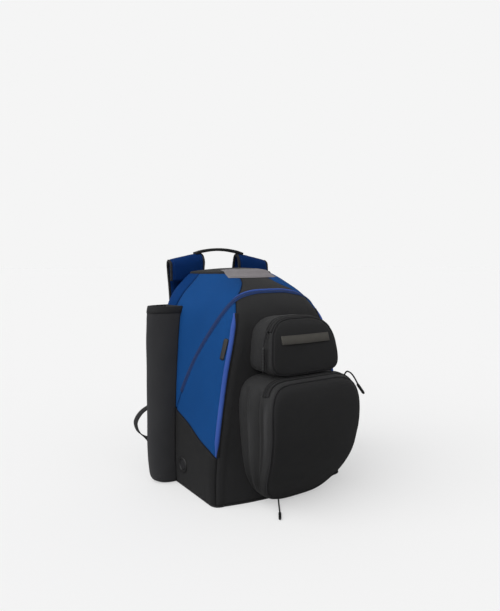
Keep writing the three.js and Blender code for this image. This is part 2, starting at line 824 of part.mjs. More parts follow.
// Bat sleeves: open tubes with a floor, flat against the body's side
const ARC = 10;
function sleeveRing(z, sign, skin) {
  const middle = between(SLEEVE_SHAPE, "z", "y", z);
  const depth = SLEEVE_HALF_DEPTH * between(SLEEVE_SHAPE, "z", "depth", z) - skin;
  const out = between(SLEEVE_SHAPE, "z", "out", z) - 2 * skin;
  const inner = SLEEVE_SEAT + skin;
  const places = [];
  steps(ARC).forEach((s) => {
    const turn = Math.PI * s;
    const c = Math.cos(turn);
    const side = Math.sign(c) * Math.abs(c) ** (2 / SLEEVE_ROUND);
    const y = middle + depth * side;
    const rise = Math.sin(turn) ** (2 / SLEEVE_ROUND);
    places.push([sideX(y, z) + inner + out * rise + (s === 0 || s === 1 ? 0.6 : 0), y]);
  });
  steps(7).forEach((s) => {
    const y = middle + depth * mix(-1, 1, s) * 0.98;
    places.push([sideX(y, z) + inner, y]);
  });
  return places.map(([x, y]) => v3(sign * x, y, z));
}
SIDES.forEach(({ name, sign }) => {
  const levels = [1.5, 6, 16, 60, 150, 240, 300, 335, 360, 380];
  const floorRise = [NEOPRENE, 2, 2, 0, 0, 0, 0, 0, 0, 0];
  const outer = levels.map((z) => sleeveRing(z, sign, 0));
  const inner = levels.map((z, i) => sleeveRing(z + floorRise[i], sign, NEOPRENE));
  add("bat_sleeve_" + name, closedDisc(outer, inner, 0), "neoprene");
});

// Shoulder straps, adjusting webbing, grab handle
const padShape = (s) => 0.45 + 0.55 * Math.sqrt(Math.max(0, 1 - (2 * s - 1) ** 4));
SIDES.forEach(({ name, sign }) => {
  const line = STRAP.map((r) => v3(sign * r.x, r.y, r.z));
  const tilt = (i) => v3(1, 0, (-sign * STRAP[i].drop) / STRAP[i].width);
  add(
    "shoulder_strap_" + name,
    strip(line, tilt, (i) => STRAP[i].width, STRAP_PAD, 6, padShape),
    "navy",
  );
  const loop = WEBBING_PATH.map((r) => v3(sign * r.x, r.y, r.z));
  const smooth = new THREE.CatmullRomCurve3(loop).getPoints(WEBBING.steps);
  // Flat with the strap at first, on edge round the loop, flat against the back at the end
  const twist = (i) => {
    const share = i / WEBBING.steps;
    const early = THREE.MathUtils.smoothstep(share, 0.02, 0.3);
    const late = THREE.MathUtils.smoothstep(share, 0.66, 0.9);
    return v3(sign * (1 - early), early * (1 - late), late);
  };
  add(
    "strap_webbing_" + name,
    strip(smooth, twist, () => WEBBING.width, WEBBING.thick, 1, () => 1),
    "webbing",
  );
});
const arch = new THREE.CatmullRomCurve3(HANDLE_PATH.map((r) => v3(r.x, HANDLE.y, r.z))).getPoints(16);
add(
  "grab_handle",
  strip(arch, () => v3(0, 1, 0), () => HANDLE.width, HANDLE.thick, 1, () => 1),
  "webbing",
);

// Zip pulls
add("lower_zip_pull", cord(LOWER_PULL), "webbing");
add("upper_zip_pull", cord(UPPER_PULL), "webbing");
add("floor_zip_pull", cord(FLOOR_PULL), "webbing");

export default bag;
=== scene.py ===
# %% [markdown]
# # Dressing a baseball backpack
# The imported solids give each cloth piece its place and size, but they are plain walls.
# This lesson puts the sewn piece over each one: panels that roll into their seams, stuffed
# pockets, neoprene sleeves, padded straps, webbing, zips, stitches and cords.
# Everything is in metres in one frame, so a piece goes where its solid is.

# %% Load the frame
import json
import math

import bpy
import numpy as np
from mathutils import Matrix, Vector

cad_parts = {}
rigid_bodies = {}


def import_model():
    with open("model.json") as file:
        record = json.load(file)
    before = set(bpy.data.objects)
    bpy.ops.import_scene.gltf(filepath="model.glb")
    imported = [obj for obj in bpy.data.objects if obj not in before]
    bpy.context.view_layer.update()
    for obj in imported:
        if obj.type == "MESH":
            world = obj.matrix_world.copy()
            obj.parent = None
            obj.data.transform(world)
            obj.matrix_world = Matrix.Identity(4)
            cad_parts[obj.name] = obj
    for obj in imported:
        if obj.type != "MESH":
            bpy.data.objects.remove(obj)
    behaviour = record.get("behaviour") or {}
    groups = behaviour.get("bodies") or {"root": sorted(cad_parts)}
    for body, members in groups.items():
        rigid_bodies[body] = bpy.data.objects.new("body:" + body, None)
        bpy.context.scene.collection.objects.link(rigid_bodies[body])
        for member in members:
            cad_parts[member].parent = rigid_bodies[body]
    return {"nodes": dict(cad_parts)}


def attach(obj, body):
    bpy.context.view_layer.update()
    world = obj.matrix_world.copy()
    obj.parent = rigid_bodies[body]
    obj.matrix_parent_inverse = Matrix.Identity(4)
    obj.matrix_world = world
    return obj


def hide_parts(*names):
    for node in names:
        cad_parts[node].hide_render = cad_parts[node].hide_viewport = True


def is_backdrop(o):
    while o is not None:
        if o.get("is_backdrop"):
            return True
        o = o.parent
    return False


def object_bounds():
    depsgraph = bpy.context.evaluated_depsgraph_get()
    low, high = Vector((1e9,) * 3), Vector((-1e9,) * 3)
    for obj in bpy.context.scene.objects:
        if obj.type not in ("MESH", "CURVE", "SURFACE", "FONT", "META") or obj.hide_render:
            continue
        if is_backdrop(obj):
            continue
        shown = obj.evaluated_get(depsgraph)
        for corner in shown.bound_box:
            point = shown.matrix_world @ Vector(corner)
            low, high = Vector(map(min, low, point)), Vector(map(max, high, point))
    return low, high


for left_over in list(bpy.data.objects):
    bpy.data.objects.remove(left_over)
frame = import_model()
CAD_BOX = [list(corner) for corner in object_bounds()]
MM = 0.001
SIDES = (("left", -1), ("right", 1))


def placed(name, data):
    """An object with that data, put into the scene."""
    made = bpy.data.objects.new(name, data)
    bpy.context.scene.collection.objects.link(made)
    return made


print("solids:", len(frame["nodes"]), "box:", [[round(v, 3) for v in c] for c in CAD_BOX])

# %% [markdown]
# ## Camera
# The photograph looks at the left front corner from a little above the lid.
# A camera can be aimed with a constraint or by hand. Plain numbers from a perspective fit are
# used, because they give the same view each time: a turn, a distance, an eye height and a pitch.

# %% Camera
VIEW = {"turn": -33.7, "distance": 1200, "aside": 1, "eye": 475, "pitch": 4.62}
FOCAL_PX = 540
LONG_SIDE_PX = 611

camera_data = bpy.data.cameras.new("photo_camera")
camera = placed("photo_camera", camera_data)
turn = math.radians(VIEW["turn"])
ahead = np.array([-math.sin(turn), math.cos(turn), 0])
right = np.array([math.cos(turn), math.sin(turn), 0])
spot = right * VIEW["aside"] - ahead * VIEW["distance"] + np.array([0, 0, VIEW["eye"]])
camera.location = spot * MM
camera.rotation_euler = (math.radians(90 - VIEW["pitch"]), 0, turn)
camera_data.lens = camera_data.sensor_width * FOCAL_PX / LONG_SIDE_PX
camera_data.clip_start, camera_data.clip_end = 0.05, 60
bpy.context.scene.camera = camera
print("camera at", [round(v, 3) for v in camera.location], "lens", round(camera_data.lens, 1))

# %% [markdown]
# ## Shapes from tables
# The body, pockets and sleeves follow short tables of widths and depths by height, as a pattern
# cutter would note them. A curve editor could do the same by eye. A function is used, because
# zips, stitches and piping then find the very surface that they are sewn to.

# %% Smooth numbers between the rows of a table
TINY = 1e-9


def between(keys, values, at):
    keys, values = np.asarray(keys, float), np.asarray(values, float)
    last = len(keys) - 1
    row = np.arange(last + 1)
    before, after = np.maximum(row - 1, 0), np.minimum(row + 1, last)
    slope = (values[after] - values[before]) / (keys[after] - keys[before])
    at = np.clip(np.asarray(at, float), keys[0], keys[-1])
    i = np.clip(np.searchsorted(keys, at) - 1, 0, last - 1)
    span = keys[i + 1] - keys[i]
    t = (at - keys[i]) / span
    start = values[i] * (2 * t**3 - 3 * t**2 + 1) + slope[i] * span * (t**3 - 2 * t**2 + t)
    end = values[i + 1] * (3 * t**2 - 2 * t**3) + slope[i + 1] * span * (t**3 - t**2)
    return start + end


def mix(a, b, t):
    return a + (b - a) * t


def ease(x, low, high):
    t = np.clip((np.asarray(x, float) - low) / (high - low), 0, 1)
    return t * t * (3 - 2 * t)


def unit(v):
    return v / np.maximum(np.linalg.norm(v, axis=-1, keepdims=True), 1e-12)


# %% The body's outline
BODY = {
    "z": [0, 60, 130, 200, 260, 330, 375, 410, 435, 450],
    "front_half": [165, 165, 158, 148, 137, 120, 107, 89, 75, 68],
    "back_half": [168, 172, 174, 174, 173, 171, 165, 149, 126, 108],
    "front_y": [-128, -128, -128, -128, -127, -124, -112, -77, -30, 6],
    "front_round": [22, 24, 26, 28, 30, 32, 34, 34, 32, 30],
    "back_round": [30, 32, 34, 36, 38, 40, 42, 44, 44, 42],
    "bow": [20, 18, 12, 6, 4, 4, 6, 8, 8, 6],
}
BACK_Y, TOP_Z, FOOT_Z = 113, 450, 4.3
FRONT_END, FRONT_CORNER_END, SIDE_END, BACK_CORNER_END = 0.25, 0.4, 0.7, 0.8


def half_outline(u, z):
    u, z = np.broadcast_arrays(np.asarray(u, float), np.asarray(z, float))
    col = {k: between(BODY["z"], BODY[k], z) for k in BODY if k != "z"}
    back = np.full_like(z, BACK_Y)
    pair = lambda x, y: np.stack([x, y], -1)
    front_corner = pair(col["front_half"], col["front_y"])
    back_corner = pair(col["back_half"], back)
    along = unit(back_corner - front_corner)
    front_end = pair(col["front_half"] - col["front_round"], col["front_y"])
    side_start = front_corner + along * col["front_round"][..., None]
    side_end = back_corner - along * col["back_round"][..., None]
    back_start = pair(col["back_half"] - col["back_round"], back)
    share = lambda low, high: np.clip((u - low) / (high - low), 0, 1)[..., None]
    bend = lambda a, b, c, t: a * (1 - t) ** 2 + b * 2 * t * (1 - t) + c * t * t
    t = share(0, FRONT_END)
    bowed = front_end * np.concatenate([t, np.ones_like(t)], -1)
    bowed[..., 1] -= col["bow"] * (1 - t[..., 0] ** 2)
    parts = [
        (FRONT_END, bowed),
        (FRONT_CORNER_END, bend(front_end, front_corner, side_start,
                                share(FRONT_END, FRONT_CORNER_END))),
        (SIDE_END, mix(side_start, side_end, share(FRONT_CORNER_END, SIDE_END))),
        (BACK_CORNER_END, bend(side_end, back_corner, back_start,
                               share(SIDE_END, BACK_CORNER_END))),
        (1, mix(back_start, pair(np.zeros_like(z), back), share(BACK_CORNER_END, 1))),
    ]
    made = parts[-1][1]
    for end, points in reversed(parts[:-1]):
        made = np.where((u <= end)[..., None], points, made)
    return made


def body_at(u, z):
    u, z = np.broadcast_arrays(np.asarray(u, float), np.asarray(z, float))
    u = np.where(u > 1, u - 2, np.where(u < -1, u + 2, u))
    xy = half_outline(np.abs(u), z)
    return np.stack([np.where(u < 0, -xy[..., 0], xy[..., 0]), xy[..., 1], z], -1)


# %% A surface with its outward direction
class Surface:
    def __init__(self, at, step_a, step_b, inside):
        self.at, self.step_a, self.step_b, self.inside = at, step_a, step_b, inside

    def slopes(self, a, b):
        along_a = (self.at(a + self.step_a, b) - self.at(a - self.step_a, b)) / (2 * self.step_a)
        along_b = (self.at(a, b + self.step_b) - self.at(a, b - self.step_b)) / (2 * self.step_b)
        return along_a, along_b

    def frame(self, a, b):
        point = self.at(a, b)
        out = unit(np.cross(*self.slopes(a, b)))
        wrong = np.sum(out * (point - self.inside(point)), -1) < 0
        return point, np.where(wrong[..., None], -out, out)

    def moved(self, a, b, move):
        da, db = self.slopes(a, b)
        dot = lambda v, w: np.sum(v * w, -1)
        aa, ab, bb, ma, mb = dot(da, da), dot(da, db), dot(db, db), dot(da, move), dot(db, move)
        det = aa * bb - ab * ab
        return a + (ma * bb - mb * ab) / det, b + (mb * aa - ma * ab) / det


def inside_body(p):
    return np.stack([p[..., 0] * 0.6, mix(p[..., 1], 40, 0.4), p[..., 2] - 40], -1)


body = Surface(body_at, 0.002, 0.4, inside_body)


def on_outline(low, high, known, value, z, steps=61):
    """The outline's other number where its known one (0 for x, 1 for y) has that value at z."""
    line = half_outline(np.linspace(low, high, steps), np.asarray(z, float)[..., None])
    at = np.clip(np.argmax(line[..., known] >= value[..., None], -1), 1, steps - 1)[..., None]
    pick = lambda k, c: np.take_along_axis(line[..., c], at + k, -1)[..., 0]
    before, after = pick(-1, known), pick(0, known)
    t = np.clip((value - before) / np.maximum(after - before, TINY), 0, 1)
    return mix(pick(-1, 1 - known), pick(0, 1 - known), t)


def front_y(x, z):
    return on_outline(0, 0.46, 0, np.abs(x), z)


def side_x(y, z):
    return on_outline(0.3, 0.8, 1, np.asarray(y, float), z)


widths = [round(2 * float(half_outline(SIDE_END, z)[0])) for z in (0, 200, 400)]
print("body widths at the back, by height:", widths)

# %% [markdown]
# ## Turning grids of points into cloth
# Each sewn piece is a wall: an outer grid, an inner grid and a rim that joins them. A Solidify
# modifier could add the inner face. Two grids are used instead, so that the outer face can roll
# into its seams while the inner face stays flat. The UV map holds lengths along the cloth in
# metres, so a weave has the same thread size on every piece.

# %% Mesh from grids, with lengths as UVs
def points_of(mesh):
    flat = np.zeros(len(mesh.vertices) * 3)
    mesh.vertices.foreach_get("co", flat)
    return flat.reshape(-1, 3)


def signed_volume(mesh):
    mesh.calc_loop_triangles()
    corners = np.zeros(len(mesh.loop_triangles) * 3, int)
    mesh.loop_triangles.foreach_get("vertices", corners)
    a, b, c = np.moveaxis(points_of(mesh)[corners.reshape(-1, 3)], 1, 0)
    return float(np.sum(a * np.cross(b, c)) / 6)


def object_of(name, points, faces, corner_uv, finish):
    """A smooth closed object that faces outwards, from points and cloth lengths in mm."""
    mesh = bpy.data.meshes.new(name)
    mesh.from_pydata((np.asarray(points) * MM).tolist(), [], faces)
    layer = mesh.uv_layers.new(name="cloth")
    layer.data.foreach_set("uv", (np.asarray(corner_uv, float).reshape(-1, 2) * MM).ravel())
    mesh.polygons.foreach_set("use_smooth", [True] * len(mesh.polygons))
    mesh.materials.append(finish)
    mesh.validate()
    if signed_volume(mesh) < 0:
        mesh.flip_normals()
    return placed(name, mesh)


def lengths(grid, axis):
    step = np.linalg.norm(np.diff(grid, axis=axis), axis=-1)
    start = np.zeros_like(np.take(step, [0], axis))
    return np.concatenate([start, np.cumsum(step, axis)], axis)


def wall(name, outer, inner, finish, loop=False, pole=None, flat_uv=None):
    """A closed wall. loop joins the last column to the first; pole closes row 0 or -1.

    flat_uv names the two axes that the cloth is laid out on, instead of lengths along the grid.
    """
    rows, cols = outer.shape[:2]
    inner_start = rows * cols
    ring = np.concatenate([outer, outer[:, :1]], 1) if loop else outer
    u, v = lengths(ring, 1), lengths(ring, 0)
    if flat_uv:
        u, v = ring[..., flat_uv[0]], ring[..., flat_uv[1]]
    points = [*outer.reshape(-1, 3), *inner.reshape(-1, 3)]
    faces, uv = [], []
    at = lambda i, j: i * cols + j % cols

    def add(corners, places):
        faces.append(corners)
        uv.extend((u[i, j], v[i, j]) for i, j in places)

    across = cols if loop else cols - 1
    for i in range(rows - 1):
        for j in range(across):
            places = [(i, j), (i, j + 1), (i + 1, j + 1), (i + 1, j)]
            quad = [at(*p) for p in places]
            add(quad, places)
            add([inner_start + k for k in reversed(quad)], places[::-1])
    rim = []
    if pole != 0:
        rim += [((0, j + 1), (0, j)) for j in range(across)]
    if pole != -1:
        rim += [((rows - 1, j), (rows - 1, j + 1)) for j in range(across)]
    if not loop:
        rim += [((i, 0), (i + 1, 0)) for i in range(rows - 1)]
        rim += [((i + 1, cols - 1), (i, cols - 1)) for i in range(rows - 1)]
    for a, b in rim:
        add([at(*a), at(*b), inner_start + at(*b), inner_start + at(*a)], [a, b, b, a])
    if pole is not None:
        row = rows - 1 if pole == -1 else 0
        for start, grid, back in ((0, outer, pole == 0), (inner_start, inner, pole != 0)):
            points.append(grid[row].mean(0))
            for j in range(cols):
                a, b = (row, j), (row, j + 1)
                corners, places = [start + at(*a), start + at(*b), len(points) - 1], [a, b, a]
                add(corners[::-1] if back else corners, places[::-1] if back else places)
    return object_of(name, points, faces, uv, finish)


# %% A rail: one section swept along a line, for tapes, webbing, beads and cords
def rail(name, line, out, section, finish, size=None, along=None):
    """section holds (aside, out) pairs in mm round the rail; size scales it along the line."""
    line, out, section = (np.asarray(v, float) for v in (line, out, section))
    way = unit(np.gradient(line, axis=0)) if along is None else along
    aside = unit(np.cross(out, way))
    up = unit(np.cross(way, aside))
    size = np.ones(len(line)) if size is None else np.asarray(size, float)
    spread = section[None] * size[:, None, None]
    grid = line[:, None] + aside[:, None] * spread[..., :1] + up[:, None] * spread[..., 1:]
    rows, cols = grid.shape[:2]
    closed = np.concatenate([grid, grid[:, :1]], 1)
    u = np.broadcast_to(lengths(closed, 1).mean(0), (rows, cols + 1))
    v = np.broadcast_to(lengths(line[:, None], 0), (rows, cols + 1))
    faces, uv = [], []
    for i in range(rows - 1):
        for j in range(cols):
            k = (j + 1) % cols
            faces.append([i * cols + j, i * cols + k, (i + 1) * cols + k, (i + 1) * cols + j])
            uv.extend((u[p], v[p]) for p in ((i, j), (i, j + 1), (i + 1, j + 1), (i + 1, j)))
    points = [*grid.reshape(-1, 3), grid[0].mean(0), grid[-1].mean(0)]
    last = (rows - 1) * cols
    for j in range(cols):
        k = (j + 1) % cols
        faces.append([k, j, rows * cols])
        faces.append([last + j, last + k, rows * cols + 1])
        uv.extend([(u[0, j], 0)] * 3 + [(u[0, j], v[-1, 0])] * 3)
    return object_of(name, points, faces, uv, finish)


def round_section(radius, sides=12, flat=1.0):
    turns = np.linspace(0, 2 * np.pi, sides, endpoint=False)
    return np.stack([np.cos(turns) * radius, np.sin(turns) * radius * flat], -1)


def flat_section(width, low, high, edge=0.5):
    """A flat tape with rounded edges, from low to high above the line."""
    half, soft = width / 2, min(edge, (high - low) / 2)
    return np.array([
        (-half, low + soft), (-half + soft, low), (half - soft, low), (half, low + soft),
        (half, high - soft), (half - soft, high), (0, high), (-half + soft, high),
        (-half, high - soft)])


# %% Small waves that cloth has
def ripple(points, seed, wave, stretch=(1, 1, 1), count=9):
    """Smooth waves of about 1 up and down, at about that wavelength in mm, the same each run."""
    dice = np.random.default_rng(seed)
    total = 0
    for _ in range(count):
        way = unit(dice.normal(size=3)) / np.asarray(stretch, float)
        phase = dice.uniform(0, 2 * np.pi)
        length = wave * dice.uniform(0.75, 1.5)
        total = total + np.sin(points @ way * 2 * np.pi / length + phase)
    return total / math.sqrt(count)


print("helpers ready: wall, rail, ripple")

# %% [markdown]
# ## Finishes
# Pack cloth is woven polyester: matt, dark, with threads under a millimetre that scatter light.
# A photograph of cloth would need an image file. Waves on the UV lengths are used instead: two
# crossed sines make a plain weave, one sine makes the ribs of webbing, and a noise mottles the
# dye. Values that are the same all over sit on the shader's own sockets.

# %% Short words for wiring nodes
def dye(r, g, b):
    """A colour read as 0-255 display values, as the linear numbers that Blender uses."""
    line = [v / 255 for v in (r, g, b)]
    return (*[v / 12.92 if v <= 0.04045 else ((v + 0.055) / 1.055) ** 2.4 for v in line], 1.0)


def wired(tree, kind, inputs=None, **settings):
    """A new node. Each input is a wire from another node or a plain value."""
    made = tree.nodes.new(kind)
    for key, value in settings.items():
        setattr(made, key, value)
    for key, value in (inputs or {}).items():
        if isinstance(value, bpy.types.NodeSocket):
            tree.links.new(value, made.inputs[key])
        else:
            made.inputs[key].default_value = value
    return made


class Board:
    """One material: its cloth-like shader and short words for the nodes that feed it."""

    def __init__(self, name, rough, specular, sheen=0.0):
        self.material = bpy.data.materials.new(name)
        self.material.use_nodes = True
        self.tree = self.material.node_tree
        self.tree.nodes.clear()
        self.skin = self.node("ShaderNodeBsdfPrincipled", {
            "Roughness": rough, "Specular IOR Level": specular, "Sheen Weight": sheen,
            "Sheen Roughness": 0.5})
        self.node("ShaderNodeOutputMaterial", {"Surface": self.skin.outputs["BSDF"]})

    def node(self, kind, inputs=None, **settings):
        return wired(self.tree, kind, inputs, **settings)

    def sum(self, operation, a, b=0.0, c=0.0):
        return self.node("ShaderNodeMath", {0: a, 1: b, 2: c}, operation=operation).outputs[0]

    def blend(self, share, a, b, **settings):
        colours = {0: share, 6: a, 7: b}
        return self.node("ShaderNodeMix", colours, data_type="RGBA", **settings).outputs[2]

    def place(self, on_uv):
        if on_uv:
            return self.node("ShaderNodeUVMap", uv_map="cloth").outputs[0]
        return self.node("ShaderNodeTexCoord").outputs["Object"]

    def noise(self, scale, detail):
        inputs = {"Vector": self.place(False), "Scale": scale, "Detail": detail}
        return self.node("ShaderNodeTexNoise", inputs).outputs["Fac"]

    def join(self, colour=None, height=None, depth_mm=0.2, strength=0.5, rough=None):
        wires = {"Base Color": colour, "Roughness": rough}
        if height is not None:
            inputs = {"Height": height, "Distance": depth_mm * MM, "Strength": strength}
            wires["Normal"] = self.node("ShaderNodeBump", inputs).outputs[0]
        for socket, value in wires.items():
            if value is not None:
                self.tree.links.new(value, self.skin.inputs[socket])
        return self.material


# %% Woven cloth, knit neoprene and air mesh
def woven(name, colour, shade, thread_mm, strength, rough=0.82, specular=0.2, sheen=0.05,
          on_uv=True, seam_dark_and_fold_shade=0.45):
    """A plain weave that darkens to a share of its shade colour where the mesh's seam attribute is
    high.
    """
    board = Board(name, rough, specular, sheen)
    x, y, z = board.node("ShaderNodeSeparateXYZ", {0: board.place(on_uv)}).outputs
    turn_per_metre = 2 * math.pi / (thread_mm * MM)
    warp = board.sum("SINE", board.sum("MULTIPLY", x, turn_per_metre))
    weft = board.sum("SINE", board.sum("MULTIPLY", y if on_uv else z, turn_per_metre))
    threads = board.sum("MULTIPLY", warp, weft)
    height = board.sum("MULTIPLY_ADD", board.noise(900, 1.0), 0.6, threads)
    mottled = board.blend(board.noise(14, 4.0), colour, shade)
    # The seam attribute darkens a line beside each seam; on pocket side walls it also carries
    # painted shade between the folds.
    seam = board.node("ShaderNodeAttribute", attribute_name="seam").outputs["Fac"]
    deep = tuple(v * seam_dark_and_fold_shade for v in shade[:3]) + (1.0,)
    dyed = board.blend(board.sum("MULTIPLY", seam, 0.75), mottled, deep)
    lit = board.sum("MULTIPLY_ADD", threads, 0.12, 0.88)
    toned = board.blend(1.0, dyed, lit, blend_type="MULTIPLY")
    rough_map = board.sum("MULTIPLY_ADD", board.noise(40, 3.0), 0.16, rough - 0.08)
    return board.join(toned, height, 0.25, strength, rough_map)


def air_mesh(name, colour, shade, cell_mm):
    """Spacer mesh: rows of small round holes in a soft knit."""
    board = Board(name, 0.9, 0.15, 0.12)
    cells = board.node("ShaderNodeTexVoronoi", {
        "Vector": board.place(False), "Scale": 1 / (cell_mm * MM), "Randomness": 0.25})
    hole = board.node("ShaderNodeMapRange", {
        "Value": cells.outputs["Distance"], "From Min": 0.18, "From Max": 0.42}).outputs[0]
    mottled = board.blend(board.noise(16, 3.0), colour, shade)
    deep = tuple(v * 0.35 for v in shade[:3]) + (1.0,)
    return board.join(board.blend(hole, deep, mottled), hole, 0.5, 0.5)


def ribbed(name, colour, shade, rib_mm, strength, rough=0.7, specular=0.25):
    """Webbing and tape: ribs across the length, with a finer twill on them."""
    board = Board(name, rough, specular, 0.05)
    x, y, _ = board.node("ShaderNodeSeparateXYZ", {0: board.place(True)}).outputs
    per_metre = 2 * math.pi / (rib_mm * MM)
    slant = board.sum("MULTIPLY", board.sum("ADD", y, board.sum("MULTIPLY", x, 0.35)), per_metre)
    ribs = board.sum("SINE", slant)
    cross = board.sum("SINE", board.sum("MULTIPLY", x, per_metre * 0.8))
    height = board.sum("MULTIPLY_ADD", cross, 0.5, ribs)
    share = board.sum("MULTIPLY_ADD", ribs, 0.3, board.noise(60, 3.0))
    return board.join(board.blend(share, shade, colour), height, 0.3, strength)


def moulded(name, colour, shade, rough=0.45):
    board = Board(name, rough, 0.4)
    grain = board.noise(700, 2.0)
    return board.join(board.blend(board.noise(30, 3.0), colour, shade), grain, 0.08, 0.3,
                      board.sum("MULTIPLY_ADD", grain, 0.15, rough - 0.05))


DULL = {"specular": 0.1, "sheen": 0.0}
BLACK_CLOTH = woven("black_woven_cloth", dye(45, 45, 46), dye(38, 38, 39), 0.9, 0.35)
# Pocket fronts and zip lips: the black cloth dyed darker, painted shade on fronts that face away
# from the light.
POCKET_CLOTH_PAINTED_SHADE = woven("pocket_cloth_painted_shade", dye(39, 39, 40), dye(33, 33, 34), 0.9, 0.35)
# Pocket side walls: black cloth dyed lighter as a painted highlight on the fold crests, with
# painted shade between them.
GUSSET_CLOTH_PAINTED_HIGHLIGHT = woven("gusset_cloth_painted_highlight", dye(62, 62, 63), dye(56, 56, 57), 0.9, 0.3,
                     rough=0.7, specular=0.3, seam_dark_and_fold_shade=0.15)
# Low sides: the black cloth dyed darker, painted shade low on the bag.
LOW_CLOTH_PAINTED_SHADE = woven("low_side_cloth_painted_shade", dye(31, 31, 32), dye(26, 26, 27), 0.9, 0.35)
BLUE_CLOTH = woven("blue_woven_cloth", dye(23, 79, 143), dye(18, 69, 128), 0.9, 0.35, **DULL)
# Piping and the zip flap's edge: blue cloth, dyed lighter than the panels as a painted highlight
# along the raised lip.
PIPING_CLOTH_PAINTED_HIGHLIGHT = woven("blue_piping_painted_highlight", dye(66, 100, 184), dye(50, 80, 158), 0.7, 0.3)
NAVY_CLOTH = woven("navy_woven_cloth", dye(5, 60, 124), dye(3, 52, 108), 0.9, 0.35, **DULL)
NEOPRENE = woven("neoprene_knit", dye(59, 59, 61), dye(51, 51, 53), 0.6, 0.3,
                 rough=0.9, specular=0.12, sheen=0.08)
STRAP_CLOTH = woven("strap_woven_cloth", dye(4, 48, 108), dye(2, 40, 92), 0.9, 0.35,
                    on_uv=False, **DULL)
BACK_MESH = air_mesh("back_air_mesh", dye(16, 36, 82), dye(10, 26, 64), 2.6)
WEBBING = ribbed("black_webbing", dye(34, 34, 36), dye(24, 24, 26), 1.5, 0.5)
BINDING = ribbed("black_binding_tape", dye(36, 36, 38), dye(28, 28, 30), 0.9, 0.35)
ZIP_TAPE = ribbed("black_zip_tape", dye(30, 30, 31), dye(24, 24, 25), 0.7, 0.3)
BLUE_TAPE = ribbed("blue_zip_tape", dye(22, 54, 108), dye(16, 44, 92), 0.7, 0.3)
GREY_BAND = ribbed("grey_woven_band", dye(136, 131, 134), dye(122, 118, 120), 1.0, 0.3)
DIM_BAND = ribbed("dim_grey_woven_band", dye(82, 80, 75), dye(70, 68, 64), 1.0, 0.3)
# A near-black strip beside each piping lip: painted shadow of the lip.
PAINTED_SHADOW_STRIP = ribbed("painted_shadow_tape", dye(14, 14, 15), dye(10, 10, 11), 0.9, 0.3)
COIL = moulded("zip_coil", dye(26, 26, 27), dye(20, 20, 21), 0.4)
BLUE_COIL = moulded("blue_zip_coil", dye(18, 46, 100), dye(14, 38, 84), 0.4)
PLASTIC = moulded("black_plastic", dye(28, 28, 29), dye(22, 22, 23), 0.45)
BLACK_THREAD = moulded("black_thread", dye(58, 58, 60), dye(46, 46, 48), 0.6)
BLUE_THREAD = moulded("blue_thread", dye(30, 66, 126), dye(24, 54, 108), 0.6)
print("finishes:", len(bpy.data.materials))

# %% [markdown]
# ## Stitches and zip teeth with Geometry Nodes
# A sewn bag has thousands of stitches, and a coil zip has a tooth every couple of millimetres.
# An array with a curve modifier could repeat them, but it turns them the wrong way on a rounded
# panel. A node tree is used: it walks along the seam lines at a pitch, and turns each small form
# by the line's own direction and by the cloth's outward direction, stored on the line's points.

# %% The node tree
def small_forms_tree():
    tree = bpy.data.node_groups.new("small_forms_along_lines", "GeometryNodeTree")
    face = tree.interface
    face.new_socket("Lines", in_out="INPUT", socket_type="NodeSocketGeometry")
    for name in ("Pitch", "Length", "Width", "Height"):
        face.new_socket(name, in_out="INPUT", socket_type="NodeSocketFloat")
    face.new_socket("Finish", in_out="INPUT", socket_type="NodeSocketMaterial")
    face.new_socket("Forms", in_out="OUTPUT", socket_type="NodeSocketGeometry")
    node = lambda kind, inputs=None, **settings: wired(tree, kind, inputs, **settings).outputs
    start = node("NodeGroupInput")
    line = node("GeometryNodeMeshToCurve", {"Mesh": start["Lines"]})
    paced = node("GeometryNodeResampleCurve",
                 {"Curve": line["Curve"], "Length": start["Pitch"]}, mode="LENGTH")
    bead = node("GeometryNodeMeshUVSphere", {"Segments": 6, "Rings": 4, "Radius": 0.5})
    size = node("ShaderNodeCombineXYZ",
                {"X": start["Length"], "Y": start["Width"], "Z": start["Height"]})
    shaped = node("GeometryNodeTransform", {"Geometry": bead["Mesh"], "Scale": size[0]})
    smooth = node("GeometryNodeSetShadeSmooth", {0: shaped[0]})
    tangent = node("GeometryNodeInputTangent")
    forward = node("FunctionNodeAlignRotationToVector", {"Vector": tangent[0]}, axis="X")
    stored = node("GeometryNodeInputNamedAttribute", {"Name": "out"}, data_type="FLOAT_VECTOR")
    outward = node("FunctionNodeAlignRotationToVector",
                   {"Vector": stored["Attribute"], "Rotation": forward[0]},
                   axis="Z", pivot_axis="X")
    copies = node("GeometryNodeInstanceOnPoints",
                  {"Points": paced[0], "Instance": smooth[0], "Rotation": outward[0]})
    real = node("GeometryNodeRealizeInstances", {0: copies[0]})
    painted = node("GeometryNodeSetMaterial",
                   {"Geometry": real[0], "Material": start["Finish"]})
    node("NodeGroupOutput", {"Forms": painted[0]})
    return tree


SMALL_FORMS = small_forms_tree()


def plain_mesh(piece):
    """The piece's mesh with its modifiers carried out. The piece itself is removed."""
    graph = bpy.context.evaluated_depsgraph_get()
    mesh = bpy.data.meshes.new_from_object(piece.evaluated_get(graph))
    bpy.data.objects.remove(piece)
    return mesh


